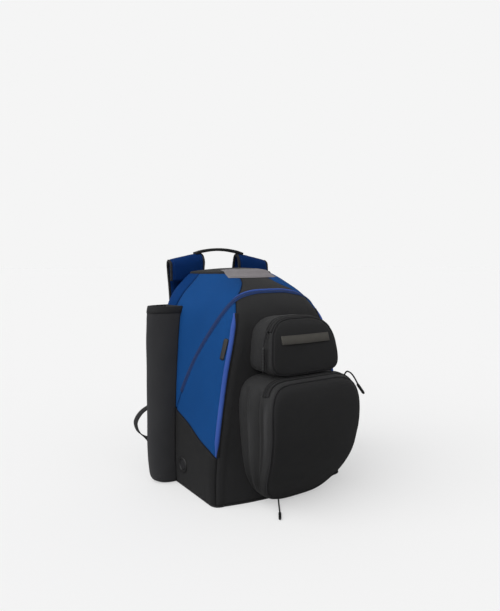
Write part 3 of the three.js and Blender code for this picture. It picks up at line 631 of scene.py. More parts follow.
def along_lines(name, lines, sizes, finish):
    """lines is a list of (points, outs) in mm; the forms come back as one plain mesh."""
    points, outs, edges = [], [], []
    for line, out in lines:
        edges += [(len(points) + i, len(points) + i + 1) for i in range(len(line) - 1)]
        points += list(np.asarray(line) * MM)
        outs += list(np.asarray(out))
    mesh = bpy.data.meshes.new(name + "_lines")
    mesh.from_pydata([tuple(p) for p in points], edges, [])
    mesh.attributes.new("out", "FLOAT_VECTOR", "POINT").data.foreach_set("vector", np.ravel(outs))
    holder = placed(name + "_lines", mesh)
    step = holder.modifiers.new("forms", "NODES")
    step.node_group = SMALL_FORMS
    for socket in SMALL_FORMS.interface.items_tree:
        if socket.name in sizes and socket.in_out == "INPUT":
            step[socket.identifier] = sizes[socket.name] * MM
        if socket.name == "Finish":
            step[socket.identifier] = finish
    return placed(name, plain_mesh(holder))


PIECES = []


def sewn(piece, slot, *nodes):
    """Every finished piece rides on the one body and may stand for solids; its slot is not used.
    """
    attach(piece, "root")
    if nodes:
        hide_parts(*nodes)
    PIECES.append(piece)
    return piece


print("node tree:", len(SMALL_FORMS.nodes), "nodes")

# %% [markdown]
# ## Body panels
# The body is cut from panels that meet at seams: black front and top, blue sides with the zip
# between them, a black lower side and a navy gusset at the back. Flat plates would show hard
# joints. Each panel is a grid on the body's own surface that crowns a little in its middle, rolls
# in at its edges and puckers beside the seam, which is what thread tension does to cloth.

# %% Seam lines of the panels
LIP_U, BACK_EDGE_U, SLEEVE_SEAM_Z = 0.325, 0.8, 163
ZIP_LINE = {"u": [0, 0.2, 0.31, 0.4, 0.46, 0.52, 0.58, 0.62],
            "z": [413, 411, 402, 374, 336, 284, 218, 166]}
COLOUR_LOW = {"u": [LIP_U, 0.45, 0.54, 0.62], "z": [96, 116, 142, 160]}
COLOUR_BACK = {"z": [0, 300, 400, TOP_Z], "u": [0.69, 0.69, 0.675, 0.64]}
COLOUR_TOP = {"z": [400, 425, TOP_Z], "u": [LIP_U, 0.262, 0.2]}
SEAM_U, SEAM_Z, ZIP_FOOT_U, SIDE_BACK_U = 0.0015, 0.5, 0.62, 0.69
CLOTH_MM = 2


def zip_z(u):
    return between(ZIP_LINE["u"], ZIP_LINE["z"], np.abs(u))


def colour_low(u):
    return np.where(u > ZIP_FOOT_U, SLEEVE_SEAM_Z, between(COLOUR_LOW["u"], COLOUR_LOW["z"], u))


def rear_low(u):
    return np.where(u > ZIP_FOOT_U, SLEEVE_SEAM_Z, zip_z(u))


def colour_back(z):
    return between(COLOUR_BACK["z"], COLOUR_BACK["u"], z)


def colour_top(z):
    return between(COLOUR_TOP["z"], COLOUR_TOP["u"], z)


def shares(count):
    """Shares from 0 to 1, closer together at both ends where the cloth rolls into the seam."""
    end = np.array([0, 0.003, 0.007, 0.013, 0.022])
    return np.concatenate([end, np.linspace(0.036, 0.964, count), 1 - end[::-1]])


def grid_of(across, up):
    return np.meshgrid(shares(across), shares(up))


# %% Sew one panel
GRIDS = {}
# The last reach is how far in from an edge the cloth is darker beside its seam.
SEAM_REACH = {"crown": 18, "pucker": 12, "flat": 3, "sag": 25, "darkening": 1.6}
ROLL_REACH, PUCKER_MM, PUCKER_WAVE, SAG_WAVE = 1.8, 0.28, 13, 110


def mark_seam(piece, worn):
    """Stores on both faces of a wall how far its finish darkens: by the seam, and painted fold
    shade on pocket walls.
    """
    values = np.zeros(len(piece.data.vertices))
    values[:2 * worn.size] = np.tile(worn.ravel(), 2)
    piece.data.attributes.new("seam", "FLOAT", "POINT").data.foreach_set("value", values)


def panel(name, place, across, up, finish, slot, node, seed,
          crown=0.8, sag=0.7, stretch=(1, 1, 1)):
    s, t = grid_of(across, up)
    point, out = body.frame(*place(s, t))
    wide, high = lengths(point, 1), lengths(point, 0)
    edge = np.minimum.reduce([wide, wide[:, -1:] - wide, high, high[-1:] - high])
    near = {word: np.exp(-edge / reach) for word, reach in SEAM_REACH.items()}
    height = crown * (1 - near["crown"]) - np.exp(-((edge / ROLL_REACH) ** 2))
    height += PUCKER_MM * ripple(point, seed, PUCKER_WAVE) * near["pucker"] * (1 - near["flat"])
    height += sag * ripple(point, seed + 50, SAG_WAVE, stretch) * (1 - near["sag"])
    grid = point + out * height[..., None]
    made = wall(name, grid, point - out * CLOTH_MM, finish)
    mark_seam(made, near["darkening"])
    GRIDS[name] = (grid, out)
    return sewn(made, slot, node)


panel("front_cloth", lambda s, t: (mix(-LIP_U + SEAM_U, LIP_U - SEAM_U, s),
                                   mix(FOOT_Z, zip_z(mix(-LIP_U, LIP_U, s)) - SEAM_Z, t)),
      90, 70, BLACK_CLOTH, "black_cloth", "front_panel", 3, crown=0.4, sag=0.3)


def top_front_place(s, t):
    side = 2 * s - 1
    rise = lambda u: mix(zip_z(u) + SEAM_Z, TOP_Z, t)
    return side * (colour_top(rise(LIP_U)) - SEAM_U), rise(side * LIP_U)


panel("top_front_cloth", top_front_place, 80, 26, BLACK_CLOTH, "black_cloth", "top_front_panel",
      5, crown=0.5, sag=0.5)

for side, sign, seed in (("left", -1, 11), ("right", 1, 31)):
    rear_rise = lambda u, t: mix(rear_low(u) + SEAM_Z, TOP_Z, t)

    def rear_place(s, t):
        front = colour_top(rear_rise(LIP_U, t)) + SEAM_U
        back = colour_back(rear_rise(SIDE_BACK_U, t)) - SEAM_U
        return sign * mix(front, back, s), rear_rise(mix(LIP_U, SIDE_BACK_U, s), t)

    def front_place(s, t):
        u = mix(LIP_U + SEAM_U, ZIP_FOOT_U - SEAM_U, s)
        return sign * u, mix(colour_low(u) + SEAM_Z, zip_z(u) - SEAM_Z, t)

    def lower_place(s, t):
        u = mix(LIP_U + SEAM_U, SIDE_BACK_U - SEAM_U, s)
        return sign * u, mix(FOOT_Z, colour_low(u) - SEAM_Z, t)

    def gusset_place(s, t):
        z = mix(FOOT_Z, TOP_Z, t)
        return sign * mix(colour_back(z) + SEAM_U, BACK_EDGE_U - SEAM_U, s), z

    panel("side_rear_cloth_" + side, rear_place, 60, 60, BLUE_CLOTH, "blue_cloth",
          "side_rear_panel_" + side, seed, sag=0.9, stretch=(1, 1, 2))
    panel("side_front_cloth_" + side, front_place, 60, 60, BLUE_CLOTH, "blue_cloth",
          "side_front_panel_" + side, seed + 2, crown=1.2, sag=0.9, stretch=(1, 1, 2))
    panel("lower_side_cloth_" + side, lower_place, 80, 40, LOW_CLOTH_PAINTED_SHADE, "black_cloth",
          "lower_side_panel_" + side, seed + 4, crown=0.4, sag=0.9)
    panel("back_gusset_cloth_" + side, gusset_place, 30, 80, NAVY_CLOTH, "navy_cloth",
          "back_gusset_" + side, seed + 6, crown=0.4, sag=0.5, stretch=(1, 1, 2))
print("panels:", len(GRIDS))

# %% [markdown]
# ## Top and base
# The top is a crowned lid of cloth over foam, and the base is a stiff board in the same cloth.
# A cut disc would do, but it has hard edges. Rings that shrink towards the middle are used, so
# the rim can round over and the lid can crown. A corded seam closes the lid's edge, and tape is
# sewn behind the seams of the sides, so no light comes through them.

# %% Lid and base
DISC_MIDDLE = np.array([0, 40, 0])
LID_CROWN, LID_FACE, LID_UNDER = 9.0, 453, 450.3
LID_SEAM_SHARE, LID_SEAM_RADIUS = 0.985, 2.4


def disc(name, z_outline, levels, finish, slot, node, crown=0.0):
    """levels holds (share of the outline, height) from one face's middle round to the other's."""
    around = np.linspace(-1, 1, 145)[:-1]
    line = body_at(around, z_outline) - DISC_MIDDLE
    rows = []
    for share, z in levels:
        ring = DISC_MIDDLE + line * share
        ring[:, 2] = z + crown * (1 - share**2) * (1 if z > z_outline + 1 else 0)
        rows.append(ring)
    grid = np.array(rows)
    half = len(levels) // 2
    made = wall(name, grid[:half], grid[:half - 1:-1], finish, loop=True, pole=0, flat_uv=(0, 1))
    return sewn(made, slot, node)


def lid_z(x, y):
    """Height of the crowned lid over a place on the plan."""
    edge_x, edge_y, _ = (body_at(np.linspace(-1, 1, 721), TOP_Z) - DISC_MIDDLE).T
    turn = np.arctan2(x, DISC_MIDDLE[1] - y)
    reach = np.interp(turn, np.arctan2(edge_x, -edge_y), np.hypot(edge_x, edge_y))
    return LID_FACE + LID_CROWN * (1 - (np.hypot(x, y - DISC_MIDDLE[1]) / reach) ** 2)


LID_SHARES = [0.02, 0.2, 0.4, 0.55, 0.7, 0.82, 0.9, 0.95]
LID_RIM = [(0.975, 452.9), (0.992, 452.4), (1.0, 451.7),
           (1.0, 450.9), (0.992, 450.4), (0.975, 450.3)]
LID_LEVELS = [*((s, LID_FACE) for s in LID_SHARES), *LID_RIM,
              *((s, LID_UNDER) for s in reversed(LID_SHARES))]
BASE_LEVELS = [(0.02, 0), (0.5, 0), (0.9, 0), (0.985, 0), (0.994, 0.4), (1.0, 1.5),
               (1.0, 2.8), (0.994, 3.7), (0.985, 4.0), (0.9, 4.0), (0.5, 4.0), (0.02, 4.0)]
disc("lid_cloth", TOP_Z, LID_LEVELS, BLACK_CLOTH, "black_cloth", "top_lid", crown=LID_CROWN)
disc("base_cloth", 0, BASE_LEVELS, BLACK_CLOTH, "black_cloth", "base_panel")
lid_edge = body_at(np.linspace(-1, 1, 241), TOP_Z) - DISC_MIDDLE
lid_edge = DISC_MIDDLE + lid_edge * [LID_SEAM_SHARE, LID_SEAM_SHARE, 1] + [0, 0, -0.6]
level = unit((lid_edge - DISC_MIDDLE) * [1, 1, 0])
cording = round_section(LID_SEAM_RADIUS, 10)
sewn(rail("lid_corded_seam", lid_edge, level, cording, BINDING), "black_cloth")
print("lid top:", round(points_of(bpy.data.objects["lid_cloth"].data)[:, 2].max(), 4))

# %% Tape behind the side seams
TAPE_WIDE, TAPE_DEEP, TAPE_END = 9, 3.4, 4


def on_surface(surface, a, b, height):
    """A line at that height over a surface, with the outward directions there."""
    point, out = surface.frame(np.asarray(a, float), np.asarray(b, float))
    return point + out * height, out


for side, sign in SIDES:
    low_u = np.linspace(LIP_U + 0.004, SIDE_BACK_U - 0.004, 90)
    tall = np.linspace(FOOT_Z + TAPE_END, TOP_Z - TAPE_END, 120)
    high = np.linspace(404, TOP_Z - TAPE_END, 60)
    lip = np.linspace(FOOT_Z + TAPE_END, 398, 120)
    seams = {"low": (low_u, colour_low(low_u)), "back": (colour_back(tall), tall),
             "top": (colour_top(high), high), "front": (np.full(120, LIP_U), lip)}
    for word, (u, z) in seams.items():
        line, out = on_surface(body, sign * u, z, -TAPE_DEEP)
        tape = flat_section(TAPE_WIDE, -0.4, 0.4)
        sewn(rail(f"seam_tape_{word}_{side}", line, out, tape, BINDING), "black_cloth")
print("tapes:", sum(p.name.startswith("seam_tape") for p in PIECES))

# %% [markdown]
# ## Zips, piping and bands on the body
# The main zip climbs one side, crosses the top and goes down the other. Its tape is a rail, one
# section swept along the zip line, and its coil is the node tree's small forms, set side by side.
# The piping is a soft half-round lip with tapered ends, and the bands are plain woven tape.

# %% Main zip and its flap
THREADS = {"black": [], "blue": []}
TEETH = {"black": [], "blue": []}


def tapered(count, least, full_from, full_to):
    """Sizes along a rail that is thin at its ends and full between two shares of its length."""
    share = np.linspace(0, 1, count)
    full = np.minimum(ease(share, 0, full_from), 1 - ease(share, full_to, 1))
    return least + (1 - least) * full


zip_u = np.linspace(-0.592, 0.592, 260)
zip_line, zip_out = on_surface(body, zip_u, zip_z(zip_u), 0)
tape = rail("main_zip_tape", zip_line, zip_out, flat_section(10, 0.35, 1.3), BLUE_TAPE)
sewn(tape, "blue_zip", "main_zip")
TEETH["blue"].append((zip_line + zip_out * 1.35, zip_out))
FLAP = slice(58, 202)
flap_out = zip_out[FLAP]
aside = unit(np.cross(zip_out, np.gradient(zip_line, axis=0)))[FLAP]
flap_line = zip_line[FLAP] + aside * 6.2
made = rail("zip_flap_edge", flap_line, flap_out, round_section(2.4, 10, 0.8) + [0, 0.8],
            PIPING_CLOTH_PAINTED_HIGHLIGHT, tapered(len(flap_line), 0.3, 0.15, 0.85))
sewn(made, "blue_cloth")
print("zip length, mm:", round(float(lengths(zip_line[:, None], 0)[-1, 0])))

# %% Piping, and a painted shadow strip beside it
LIP = {"u": 0.336, "low": 100, "high": 374}
LIP_SECTION = np.array([(-4.6, 0.5), (0, 0.3), (4.6, 0.5), (4.9, 1.8), (4.2, 3.6),
                        (2.6, 4.7), (0, 5.0), (-2.6, 4.4), (-4.2, 3.0), (-4.9, 1.6)])
for side, sign in SIDES:
    lip_z = np.linspace(LIP["low"], LIP["high"], 120)
    line, out = on_surface(body, np.full(120, sign * LIP["u"]), lip_z, 0)
    made = rail("piping_lip_" + side, line, out, LIP_SECTION * np.array([sign, 1]),
                PIPING_CLOTH_PAINTED_HIGHLIGHT, tapered(120, 0.35, 0.12, 0.9))
    sewn(made, "blue_cloth", "side_piping_" + side)
    # A near-black strip just in front of each lip paints the lip's shadow on the front cloth.
    line, out = on_surface(body, np.full(120, sign * (LIP_U - 0.002)), lip_z, 0)
    made = rail("front_edge_binding_" + side, line, out, flat_section(7, 0.2, 1.4), PAINTED_SHADOW_STRIP)
    sewn(made, "black_cloth")
print("piping from", LIP["low"], "to", LIP["high"], "mm up each side")

# %% The plain band at the lid's front edge
BAND_HEIGHTS = (440, 440.3, 442, 443.5, 445, 446.5, 448)
BAND_REACHES = (2.5, 5, 7.5, 10, 12.5, 15, 16.5, 17)
band_u = np.linspace(-0.31, 0.31, 120)
rows = [on_surface(body, band_u, np.full(120, z), 1.3)[0] for z in BAND_HEIGHTS]
fold = body_at(band_u, TOP_Z) + [0, 0, 3.6]
rows.append(fold)
for reach in BAND_REACHES:
    x, y = fold[:, 0], fold[:, 1] + reach
    rows.append(np.stack([x, y, lid_z(x, y) + 1.1], -1))
grid = np.array(rows)
out = unit(np.cross(np.gradient(grid, axis=1), np.gradient(grid, axis=0)))
out = out * np.sign(out[..., 2:])
sewn(wall("top_band", grid, grid - out * 1.0, GREY_BAND), "grey_patch", "top_patch")
for row in (2, -4):
    THREADS["black"].append((grid[row, 4:-4] + out[row, 4:-4] * 0.1, out[row, 4:-4]))
print("band rows and columns:", grid.shape[:2])

# %% [markdown]
# ## Front pockets
# Each pocket is a wall that leaves the body, folds over a corded seam and closes as a stuffed
# front. Inflating a box would lose the seam's place. The pocket is a surface of two numbers
# instead, the turn round its outline and the run from its root to its middle, so that the seam,
# the zip and the folds down the side walls all lie where the tables put them.

# %% The pocket surface
POCKET_WALL = {"run": [0, 0.2, 0.38, 0.48, 0.58, 0.7, 0.86, 1],
               "shrink": [1, 1, 0.995, 0.975, 0.93, 0.84, 0.46, 0],
               "out": [0, 0.4, 0.74, 0.9, 0.975, 1, 1, 1]}
POCKET_SEAM, POCKET_SEAT = 0.53, 0.9
# The last entry of each pocket's table is the base painted shade on its side walls.
LOWER = {"middle": 129.4, "half_height": 126, "half_width": 115,
         "square_top": 5.6, "square_foot": 4.2, "bulge": 8,
         "taper": {"z": [0, 40, 80, 130, 190, 254], "k": [0.76, 0.86, 0.92, 0.955, 0.98, 0.975]},
         "front": {"z": [0, 25, 60, 100, 150, 200, 235, 256],
                   "y": [-162, -178, -203, -225, -238, -239, -231, -217]},
         "folds": [(0.1, 0.07, 5), (0.29, 0.085, 7)],
         "ridges": [(0.165, 0.03, 1.8, 80, 200), (0.32, 0.05, -3, 70, 240),
                    (0.43, 0.028, 3.2, 110, 228)],
         "painted_shade": 0.72}
UPPER = {"middle": 313.2, "half_height": 54.3, "half_width": 84,
         "square_top": 3.6, "square_foot": 6, "bulge": 5,
         "taper": {"z": [256, 300, 340, 370], "k": [1.03, 1, 0.92, 0.8]},
         "front": {"z": [256, 285, 320, 350, 370], "y": [-203, -201, -195, -183, -166]},
         "folds": [], "ridges": [], "painted_shade": 0.8}


def pocket_front_y(shape, x, z):
    flat = between(shape["front"]["z"], shape["front"]["y"], z)
    return flat - shape["bulge"] * (1 - (x / shape["half_width"]) ** 2)


def upright_share(turn):
    """1 on a pocket's side walls, 0 on its top and foot."""
    return ease(np.abs(np.cos(turn)), 0.72, 0.97)


def pocket_surface(shape):
    def at(turn, run):
        turn, run = np.broadcast_arrays(np.asarray(turn, float), np.asarray(run, float))
        square = np.where(np.sin(turn) > 0, shape["square_top"], shape["square_foot"])
        power = lambda c: np.sign(c) * np.abs(c) ** (2 / square)
        z_edge = shape["middle"] + shape["half_height"] * power(np.sin(turn))
        taper = between(shape["taper"]["z"], shape["taper"]["k"], z_edge)
        x_edge = shape["half_width"] * power(np.cos(turn)) * taper
        shrink = between(POCKET_WALL["run"], POCKET_WALL["shrink"], run)
        out = between(POCKET_WALL["run"], POCKET_WALL["out"], run)
        fold = sum(depth * np.maximum(0, 1 - ((run - place) / reach) ** 2) ** 2
                   for place, reach, depth in shape["folds"])
        x = x_edge * shrink - np.sign(x_edge) * fold * upright_share(turn)
        z = shape["middle"] + (z_edge - shape["middle"]) * shrink
        _, first, back = np.unique(turn, return_index=True, return_inverse=True)
        root = front_y(x_edge.ravel()[first], z_edge.ravel()[first])
        root = root[back].reshape(turn.shape) - POCKET_SEAT
        return np.stack([x, mix(root, pocket_front_y(shape, x, z), out), z], -1)

    inside = lambda p: np.stack([p[..., 0] * 0.9, mix(p[..., 1], -100, 0.5),
                                 mix(p[..., 2], shape["middle"], 0.1)], -1)
    return Surface(at, 0.004, 0.004, inside)


# %% Pocket walls and fronts
WALL_ROWS, FRONT_ROWS, POCKET_GAP, FRONT_MIDDLE = 46, 44, 0.002, 0.985
# How far a fold takes painted shade off a ridge (a painted highlight) or deepens it in a valley,
# and how much painted shade is added towards the foot.
FOLD_PAINTED_LIGHT_AND_SHADE, FOOT_PAINTED_SHADE = 0.23, 0.28


def wall_folds(shape, point, turn, run):
    """Height of the folds down a pocket's side walls, and the painted shade between them."""
    height, z = 0, point[..., 2]
    # Painted shade: a base level, deeper towards the foot, less on the ridges as a painted
    # highlight.
    painted_shade = shape["painted_shade"] + FOOT_PAINTED_SHADE * (1 - ease(z, 40, 110))
    for place, reach, rise, low, high in shape["ridges"]:
        fade = ease(z, low, low + 50) * (1 - ease(z, high - 40, high))
        fold = rise * np.exp(-(((run - place) / reach) ** 2)) * upright_share(turn) * fade
        height, painted_shade = height + fold, painted_shade - FOLD_PAINTED_LIGHT_AND_SHADE * fold
    return height, np.clip(painted_shade, 0, 1)


def pocket_cloth(name, surface, shape, part, run, seed):
    around = 2 * np.pi * (np.arange(220) + 0.5) / 220
    turn, run = np.meshgrid(around, run)
    point, out = surface.frame(turn, run)
    deep, is_wall = lengths(point, 0), part == "gusset"
    edge = np.minimum(deep, deep[-1:] - deep) if is_wall else deep
    roll = np.exp(-((edge / ROLL_REACH) ** 2))
    height = -0.9 * roll + 0.3 * ripple(point, seed, 12) * np.exp(-edge / 10)
    soft = 1 - np.exp(-edge / 22)
    # Darker beside the seam; on the side walls also painted shade between the folds, with a
    # painted highlight on the ridges.
    seam_dark_and_fold_shade = np.exp(-edge / SEAM_REACH["darkening"])
    if is_wall:
        height += 0.8 * ripple(point, seed + 1, 34, (1, 0.6, 4)) * soft * np.abs(np.cos(turn))
        folds, painted_shade = wall_folds(shape, point, turn, run)
        height, seam_dark_and_fold_shade = height + folds, np.maximum(seam_dark_and_fold_shade, painted_shade)
    height += 0.8 * ripple(point, seed + 2, 95, (2, 1, 1)) * soft
    grid = point + out * height[..., None]
    closing = {} if is_wall else {"pole": -1, "flat_uv": (0, 2)}
    made = wall(f"{name}_{part}_cloth", grid, point - out * CLOTH_MM,
                GUSSET_CLOTH_PAINTED_HIGHLIGHT if is_wall else POCKET_CLOTH_PAINTED_SHADE, loop=True, **closing)
    mark_seam(made, seam_dark_and_fold_shade)
    GRIDS[f"{name}_{part}"] = (grid, out)
    sewn(made, "black_cloth", f"{name}_{part}")


# %% Sew both pockets, with their corded seams and zips
def pocket(name, shape, zip_run, zip_from, zip_to, seed):
    """The zip lies at zip_run, between two turns given in half circles."""
    surface = pocket_surface(shape)
    wall_run = mix(POCKET_GAP, POCKET_SEAM - POCKET_GAP, shares(WALL_ROWS))
    front_run = mix(POCKET_SEAM + POCKET_GAP, FRONT_MIDDLE, shares(FRONT_ROWS) ** 1.25)
    pocket_cloth(name, surface, shape, "gusset", wall_run, seed)
    pocket_cloth(name, surface, shape, "front", front_run, seed)
    bead_turn = np.linspace(-np.pi / 2, 1.5 * np.pi, 320)
    line, out = on_surface(surface, bead_turn, np.full(320, POCKET_SEAM), 0.2)
    sewn(rail(name + "_corded_seam", line, out, round_section(1.5, 8), BINDING), "black_cloth")
    zip_turn = np.pi * np.linspace(zip_from, zip_to, 160)
    line, out = on_surface(surface, zip_turn, np.full(160, zip_run), 0)
    made = rail(name + "_zip_tape", line, out, flat_section(9, 0.5, 1.5), ZIP_TAPE)
    sewn(made, "black_zip", name + "_zip")
    TEETH["black"].append((line + out * 1.55, out))
    aside = unit(np.cross(out, np.gradient(line, axis=0)))
    for word, edge in (("inner", -6.4), ("outer", 6.4)):
        a, b = surface.moved(zip_turn, np.full(160, zip_run), aside * edge)
        lip, lip_out = on_surface(surface, a, b, 0)
        made = rail(f"{name}_zip_lip_{word}", lip, lip_out,
                    round_section(2.2, 10, 0.8) + [0, 0.9], POCKET_CLOTH_PAINTED_SHADE)
        sewn(made, "black_cloth")


pocket("lower_pocket", LOWER, zip_run=0.4, zip_from=0.2, zip_to=0.82, seed=61)
pocket("upper_pocket", UPPER, zip_run=0.42, zip_from=0.1, zip_to=0.9, seed=71)
print("pocket pieces:", sum("pocket" in p.name for p in PIECES))

# %% The plain band across the upper pocket
band_x = np.linspace(-58, 58, 90)
band_z = np.full(90, 327.0)
band_y = lambda dx=0, dz=0: pocket_front_y(UPPER, band_x + dx, band_z + dz)
slope_x, slope_z = (band_y(1) - band_y(-1)) / 2, (band_y(0, 1) - band_y(0, -1)) / 2
out = unit(np.stack([slope_x, -np.ones(90), slope_z], -1))
line = np.stack([band_x, band_y(), band_z], -1)
made = rail("upper_pocket_woven_band", line, out, flat_section(17, 0.4, 2.2), DIM_BAND)
sewn(made, "grey_patch", "upper_pocket_band")
aside = unit(np.cross(out, np.gradient(line, axis=0)))
for edge in (-7, 7):
    THREADS["black"].append((line + aside * edge + out * 2.25, out))
print("band width, mm:", band_x[-1] - band_x[0])

# %% [markdown]
# ## Bat sleeves
# A sleeve is a tube of knit neoprene, sewn flat to the side and open at the top. A cylinder would
# miss the flat side and the rounded foot. Rings that follow the body's side are stacked instead,
# and a bound edge wraps the mouth.

# %% Sleeves
SLEEVE = {"z": [1.5, 6, 16, 40, 200, 330, 380], "y": [63, 63, 63, 63, 65, 69, 71],
          "depth": [0.84, 0.93, 0.98, 1, 1, 0.97, 0.92], "out": [34, 41, 45, 46, 47, 50, 55]}
SLEEVE_HALF_DEPTH, SLEEVE_ROUND, SLEEVE_SEAT, NEOPRENE_MM = 32, 2.15, 0.9, 3
SLEEVE_FOOT, SLEEVE_TOP, SLEEVE_ARC, SLEEVE_FLAT = 1.5, 380, 64, 26
FLOOR_SHARES = (0.04, 0.4, 0.75, 0.95)
TUBE = np.s_[len(FLOOR_SHARES):, :SLEEVE_ARC]
MOUTH_RIM = [(366, -0.5), (366.6, -1.1), (373, -1.2), (379.5, -1.1), (381, -0.4)]


def sleeve_ring(z, skin):
    """One ring at a height, moved in by skin: the free arc first, then the flat on the body."""
    level, arc, flat = min(z, SLEEVE_TOP), SLEEVE_ARC, SLEEVE_FLAT
    row = {k: float(between(SLEEVE["z"], SLEEVE[k], level)) for k in ("y", "depth", "out")}
    depth = SLEEVE_HALF_DEPTH * row["depth"] - skin
    turn = np.pi * np.linspace(0, 1, arc)
    c = np.cos(turn)
    y = row["y"] + depth * np.sign(c) * np.abs(c) ** (2 / SLEEVE_ROUND)
    rise = np.abs(np.sin(turn)) ** (2 / SLEEVE_ROUND)
    x = side_x(y, np.full(arc, level)) + SLEEVE_SEAT + skin + (row["out"] - 2 * skin) * rise
    y_flat = row["y"] + depth * np.linspace(-0.985, 0.985, flat)
    x_flat = side_x(y_flat, np.full(flat, level)) + SLEEVE_SEAT + skin
    x, y = np.concatenate([x, x_flat]), np.concatenate([y, y_flat])
    return np.stack([x, y, np.full(arc + flat, z)], -1)


for side, sign, seed in (("left", -1, 81), ("right", 1, 91)):
    mirror = np.array([sign, 1, 1])
    heights = np.concatenate([np.linspace(SLEEVE_FOOT, 16, 10), np.linspace(20, SLEEVE_TOP, 74)])
    outer, inner = [], []
    floor_rings = [(outer, sleeve_ring(SLEEVE_FOOT, 0)),
                   (inner, sleeve_ring(SLEEVE_FOOT + NEOPRENE_MM, NEOPRENE_MM))]
    for rings, ring in floor_rings:
        rings += [ring.mean(0) + (ring - ring.mean(0)) * share for share in FLOOR_SHARES]
    for z in heights:
        raised = NEOPRENE_MM * (1 - float(ease(z, SLEEVE_FOOT, 40)))
        outer.append(sleeve_ring(z, 0))
        inner.append(sleeve_ring(z + raised, NEOPRENE_MM))
    outer, inner = np.array(outer), np.array(inner)
    middle = outer.mean(1, keepdims=True)
    free = np.zeros(outer.shape[:2])
    arc = np.sin(np.pi * np.linspace(0, 1, SLEEVE_ARC)) ** 0.7
    free[TUBE] = arc * ease(heights, SLEEVE_FOOT, 30)[:, None]
    waves = 0.7 * ripple(outer, seed, 60, (1, 1, 1.6))
    waves += 0.5 * ripple(outer, seed + 1, 26, (2, 2, 1)) * ease(outer[..., 2], 120, 10)
    outer = outer + unit(outer - middle) * (free * waves)[..., None]
    made = wall("bat_sleeve_cloth_" + side, outer * mirror, inner * mirror, NEOPRENE,
                loop=True, pole=0)
    sewn(made, "black_neoprene", "bat_sleeve_" + side)
    GRIDS["sleeve_" + side] = (outer[TUBE] * mirror, unit(outer - middle)[TUBE] * mirror)
    bound = np.array([sleeve_ring(z, skin) for z, skin in MOUTH_RIM])
    lining = np.array([sleeve_ring(z, NEOPRENE_MM - 2 * skin / 3) for z, skin in MOUTH_RIM])
    made = wall("sleeve_mouth_binding_" + side, bound * mirror, lining * mirror, BINDING,
                loop=True)
    sewn(made, "black_neoprene")
print("sleeve height, mm:", heights[-1])

# %% [markdown]
# ## Padded straps and back
# A shoulder strap is foam between two cloths, so it is full in the middle and thin at its bound
# edge. It could be sculpted. Cloth simulation is used: a thinner strap is remeshed into even
# squares, air pressure swells it for twenty frames, and no point may move further than a cap.
# The back panel is swollen the same way, and its sewn channels are pressed in afterwards.

# %% Swell a closed mesh like a stuffed pad
SWELL_FRAMES = 20


def swell(rough, name, voxel_mm, pressure, cap_mm, finish):
    """Turns a rough closed mesh into a pad; gives the pad and its points in metres."""
    rough.modifiers.new("even_squares", "REMESH").voxel_size = voxel_mm * MM
    mesh = plain_mesh(rough)
    mesh.materials.clear()
    mesh.materials.append(finish)
    pad = placed(name, mesh)
    start = end = points_of(mesh)
    cloth = pad.modifiers.new("air", "CLOTH")
    cloth.settings.use_pressure = True
    cloth.settings.uniform_pressure_force = pressure
    cloth.settings.effector_weights.gravity = 0
    cloth.collision_settings.use_collision = False
    for number in range(1, SWELL_FRAMES + 1):
        bpy.context.scene.frame_set(number)
    graph = bpy.context.evaluated_depsgraph_get()
    end = points_of(pad.evaluated_get(graph).data)
    pad.modifiers.remove(cloth)
    bpy.context.scene.frame_set(1)
    move = end - start
    far = np.linalg.norm(move, axis=1, keepdims=True)
    end = start + move * np.minimum(1, cap_mm * MM / np.maximum(far, TINY))
    mesh.vertices.foreach_set("co", end.ravel())
    mesh.polygons.foreach_set("use_smooth", [True] * len(mesh.polygons))
    mesh.update()
    moved_mm = round(float(far.max()) / MM, 1)
    print(name, len(mesh.vertices), "points, moved up to", moved_mm, "mm before the cap")
    return pad, end


def subdivide_once(pad):
    fine = pad.modifiers.new("smooth_cloth", "SUBSURF")
    fine.levels = fine.render_levels = 1


def on_mesh(piece, points, outs, lift_mm=0.1):
    """Points pressed onto a finished mesh from outside, with its outward direction there."""
    line, normals = [], []
    for p, out in zip(np.asarray(points), np.asarray(outs)):
        _, spot, normal, _ = piece.closest_point_on_mesh(tuple((p + out * 14) * MM))
        line.append(np.array(spot) / MM + np.array(normal) * lift_mm)
        normals.append(np.array(normal))
    return np.array(line), np.array(normals)


# %% Shoulder straps
STRAP = {"x": [93, 92, 91, 91, 91, 89, 86, 85, 88, 96, 104],
         "y": [119.8, 120.4, 123, 133, 146, 155, 161, 162, 160, 155, 151],
         "z": [430, 455, 474, 484, 478, 455, 410, 350, 285, 225, 182],
         "width": [86, 88, 90, 90, 84, 77, 70, 66, 62, 56, 48],
         "drop": [0, 6, 14, 18, 13, 6, 0, 0, 0, 0, 0]}
STRAP_THICK, BINDING_IN, STITCH_IN = 12, 3.2, 9


def strap_frame(sign, count=150):
    place = np.linspace(0, 10, count)
    col = {k: between(np.arange(11), STRAP[k], place) for k in STRAP}
    line = np.stack([sign * col["x"], col["y"], col["z"]], -1)
    way = unit(np.gradient(line, axis=0))
    tilt = np.stack([np.ones(count), np.zeros(count), -sign * col["drop"] / col["width"]], -1)
    aside = unit(tilt - way * np.sum(tilt * way, -1, keepdims=True))
    return line, way, aside, unit(np.cross(way, aside)), col["width"]


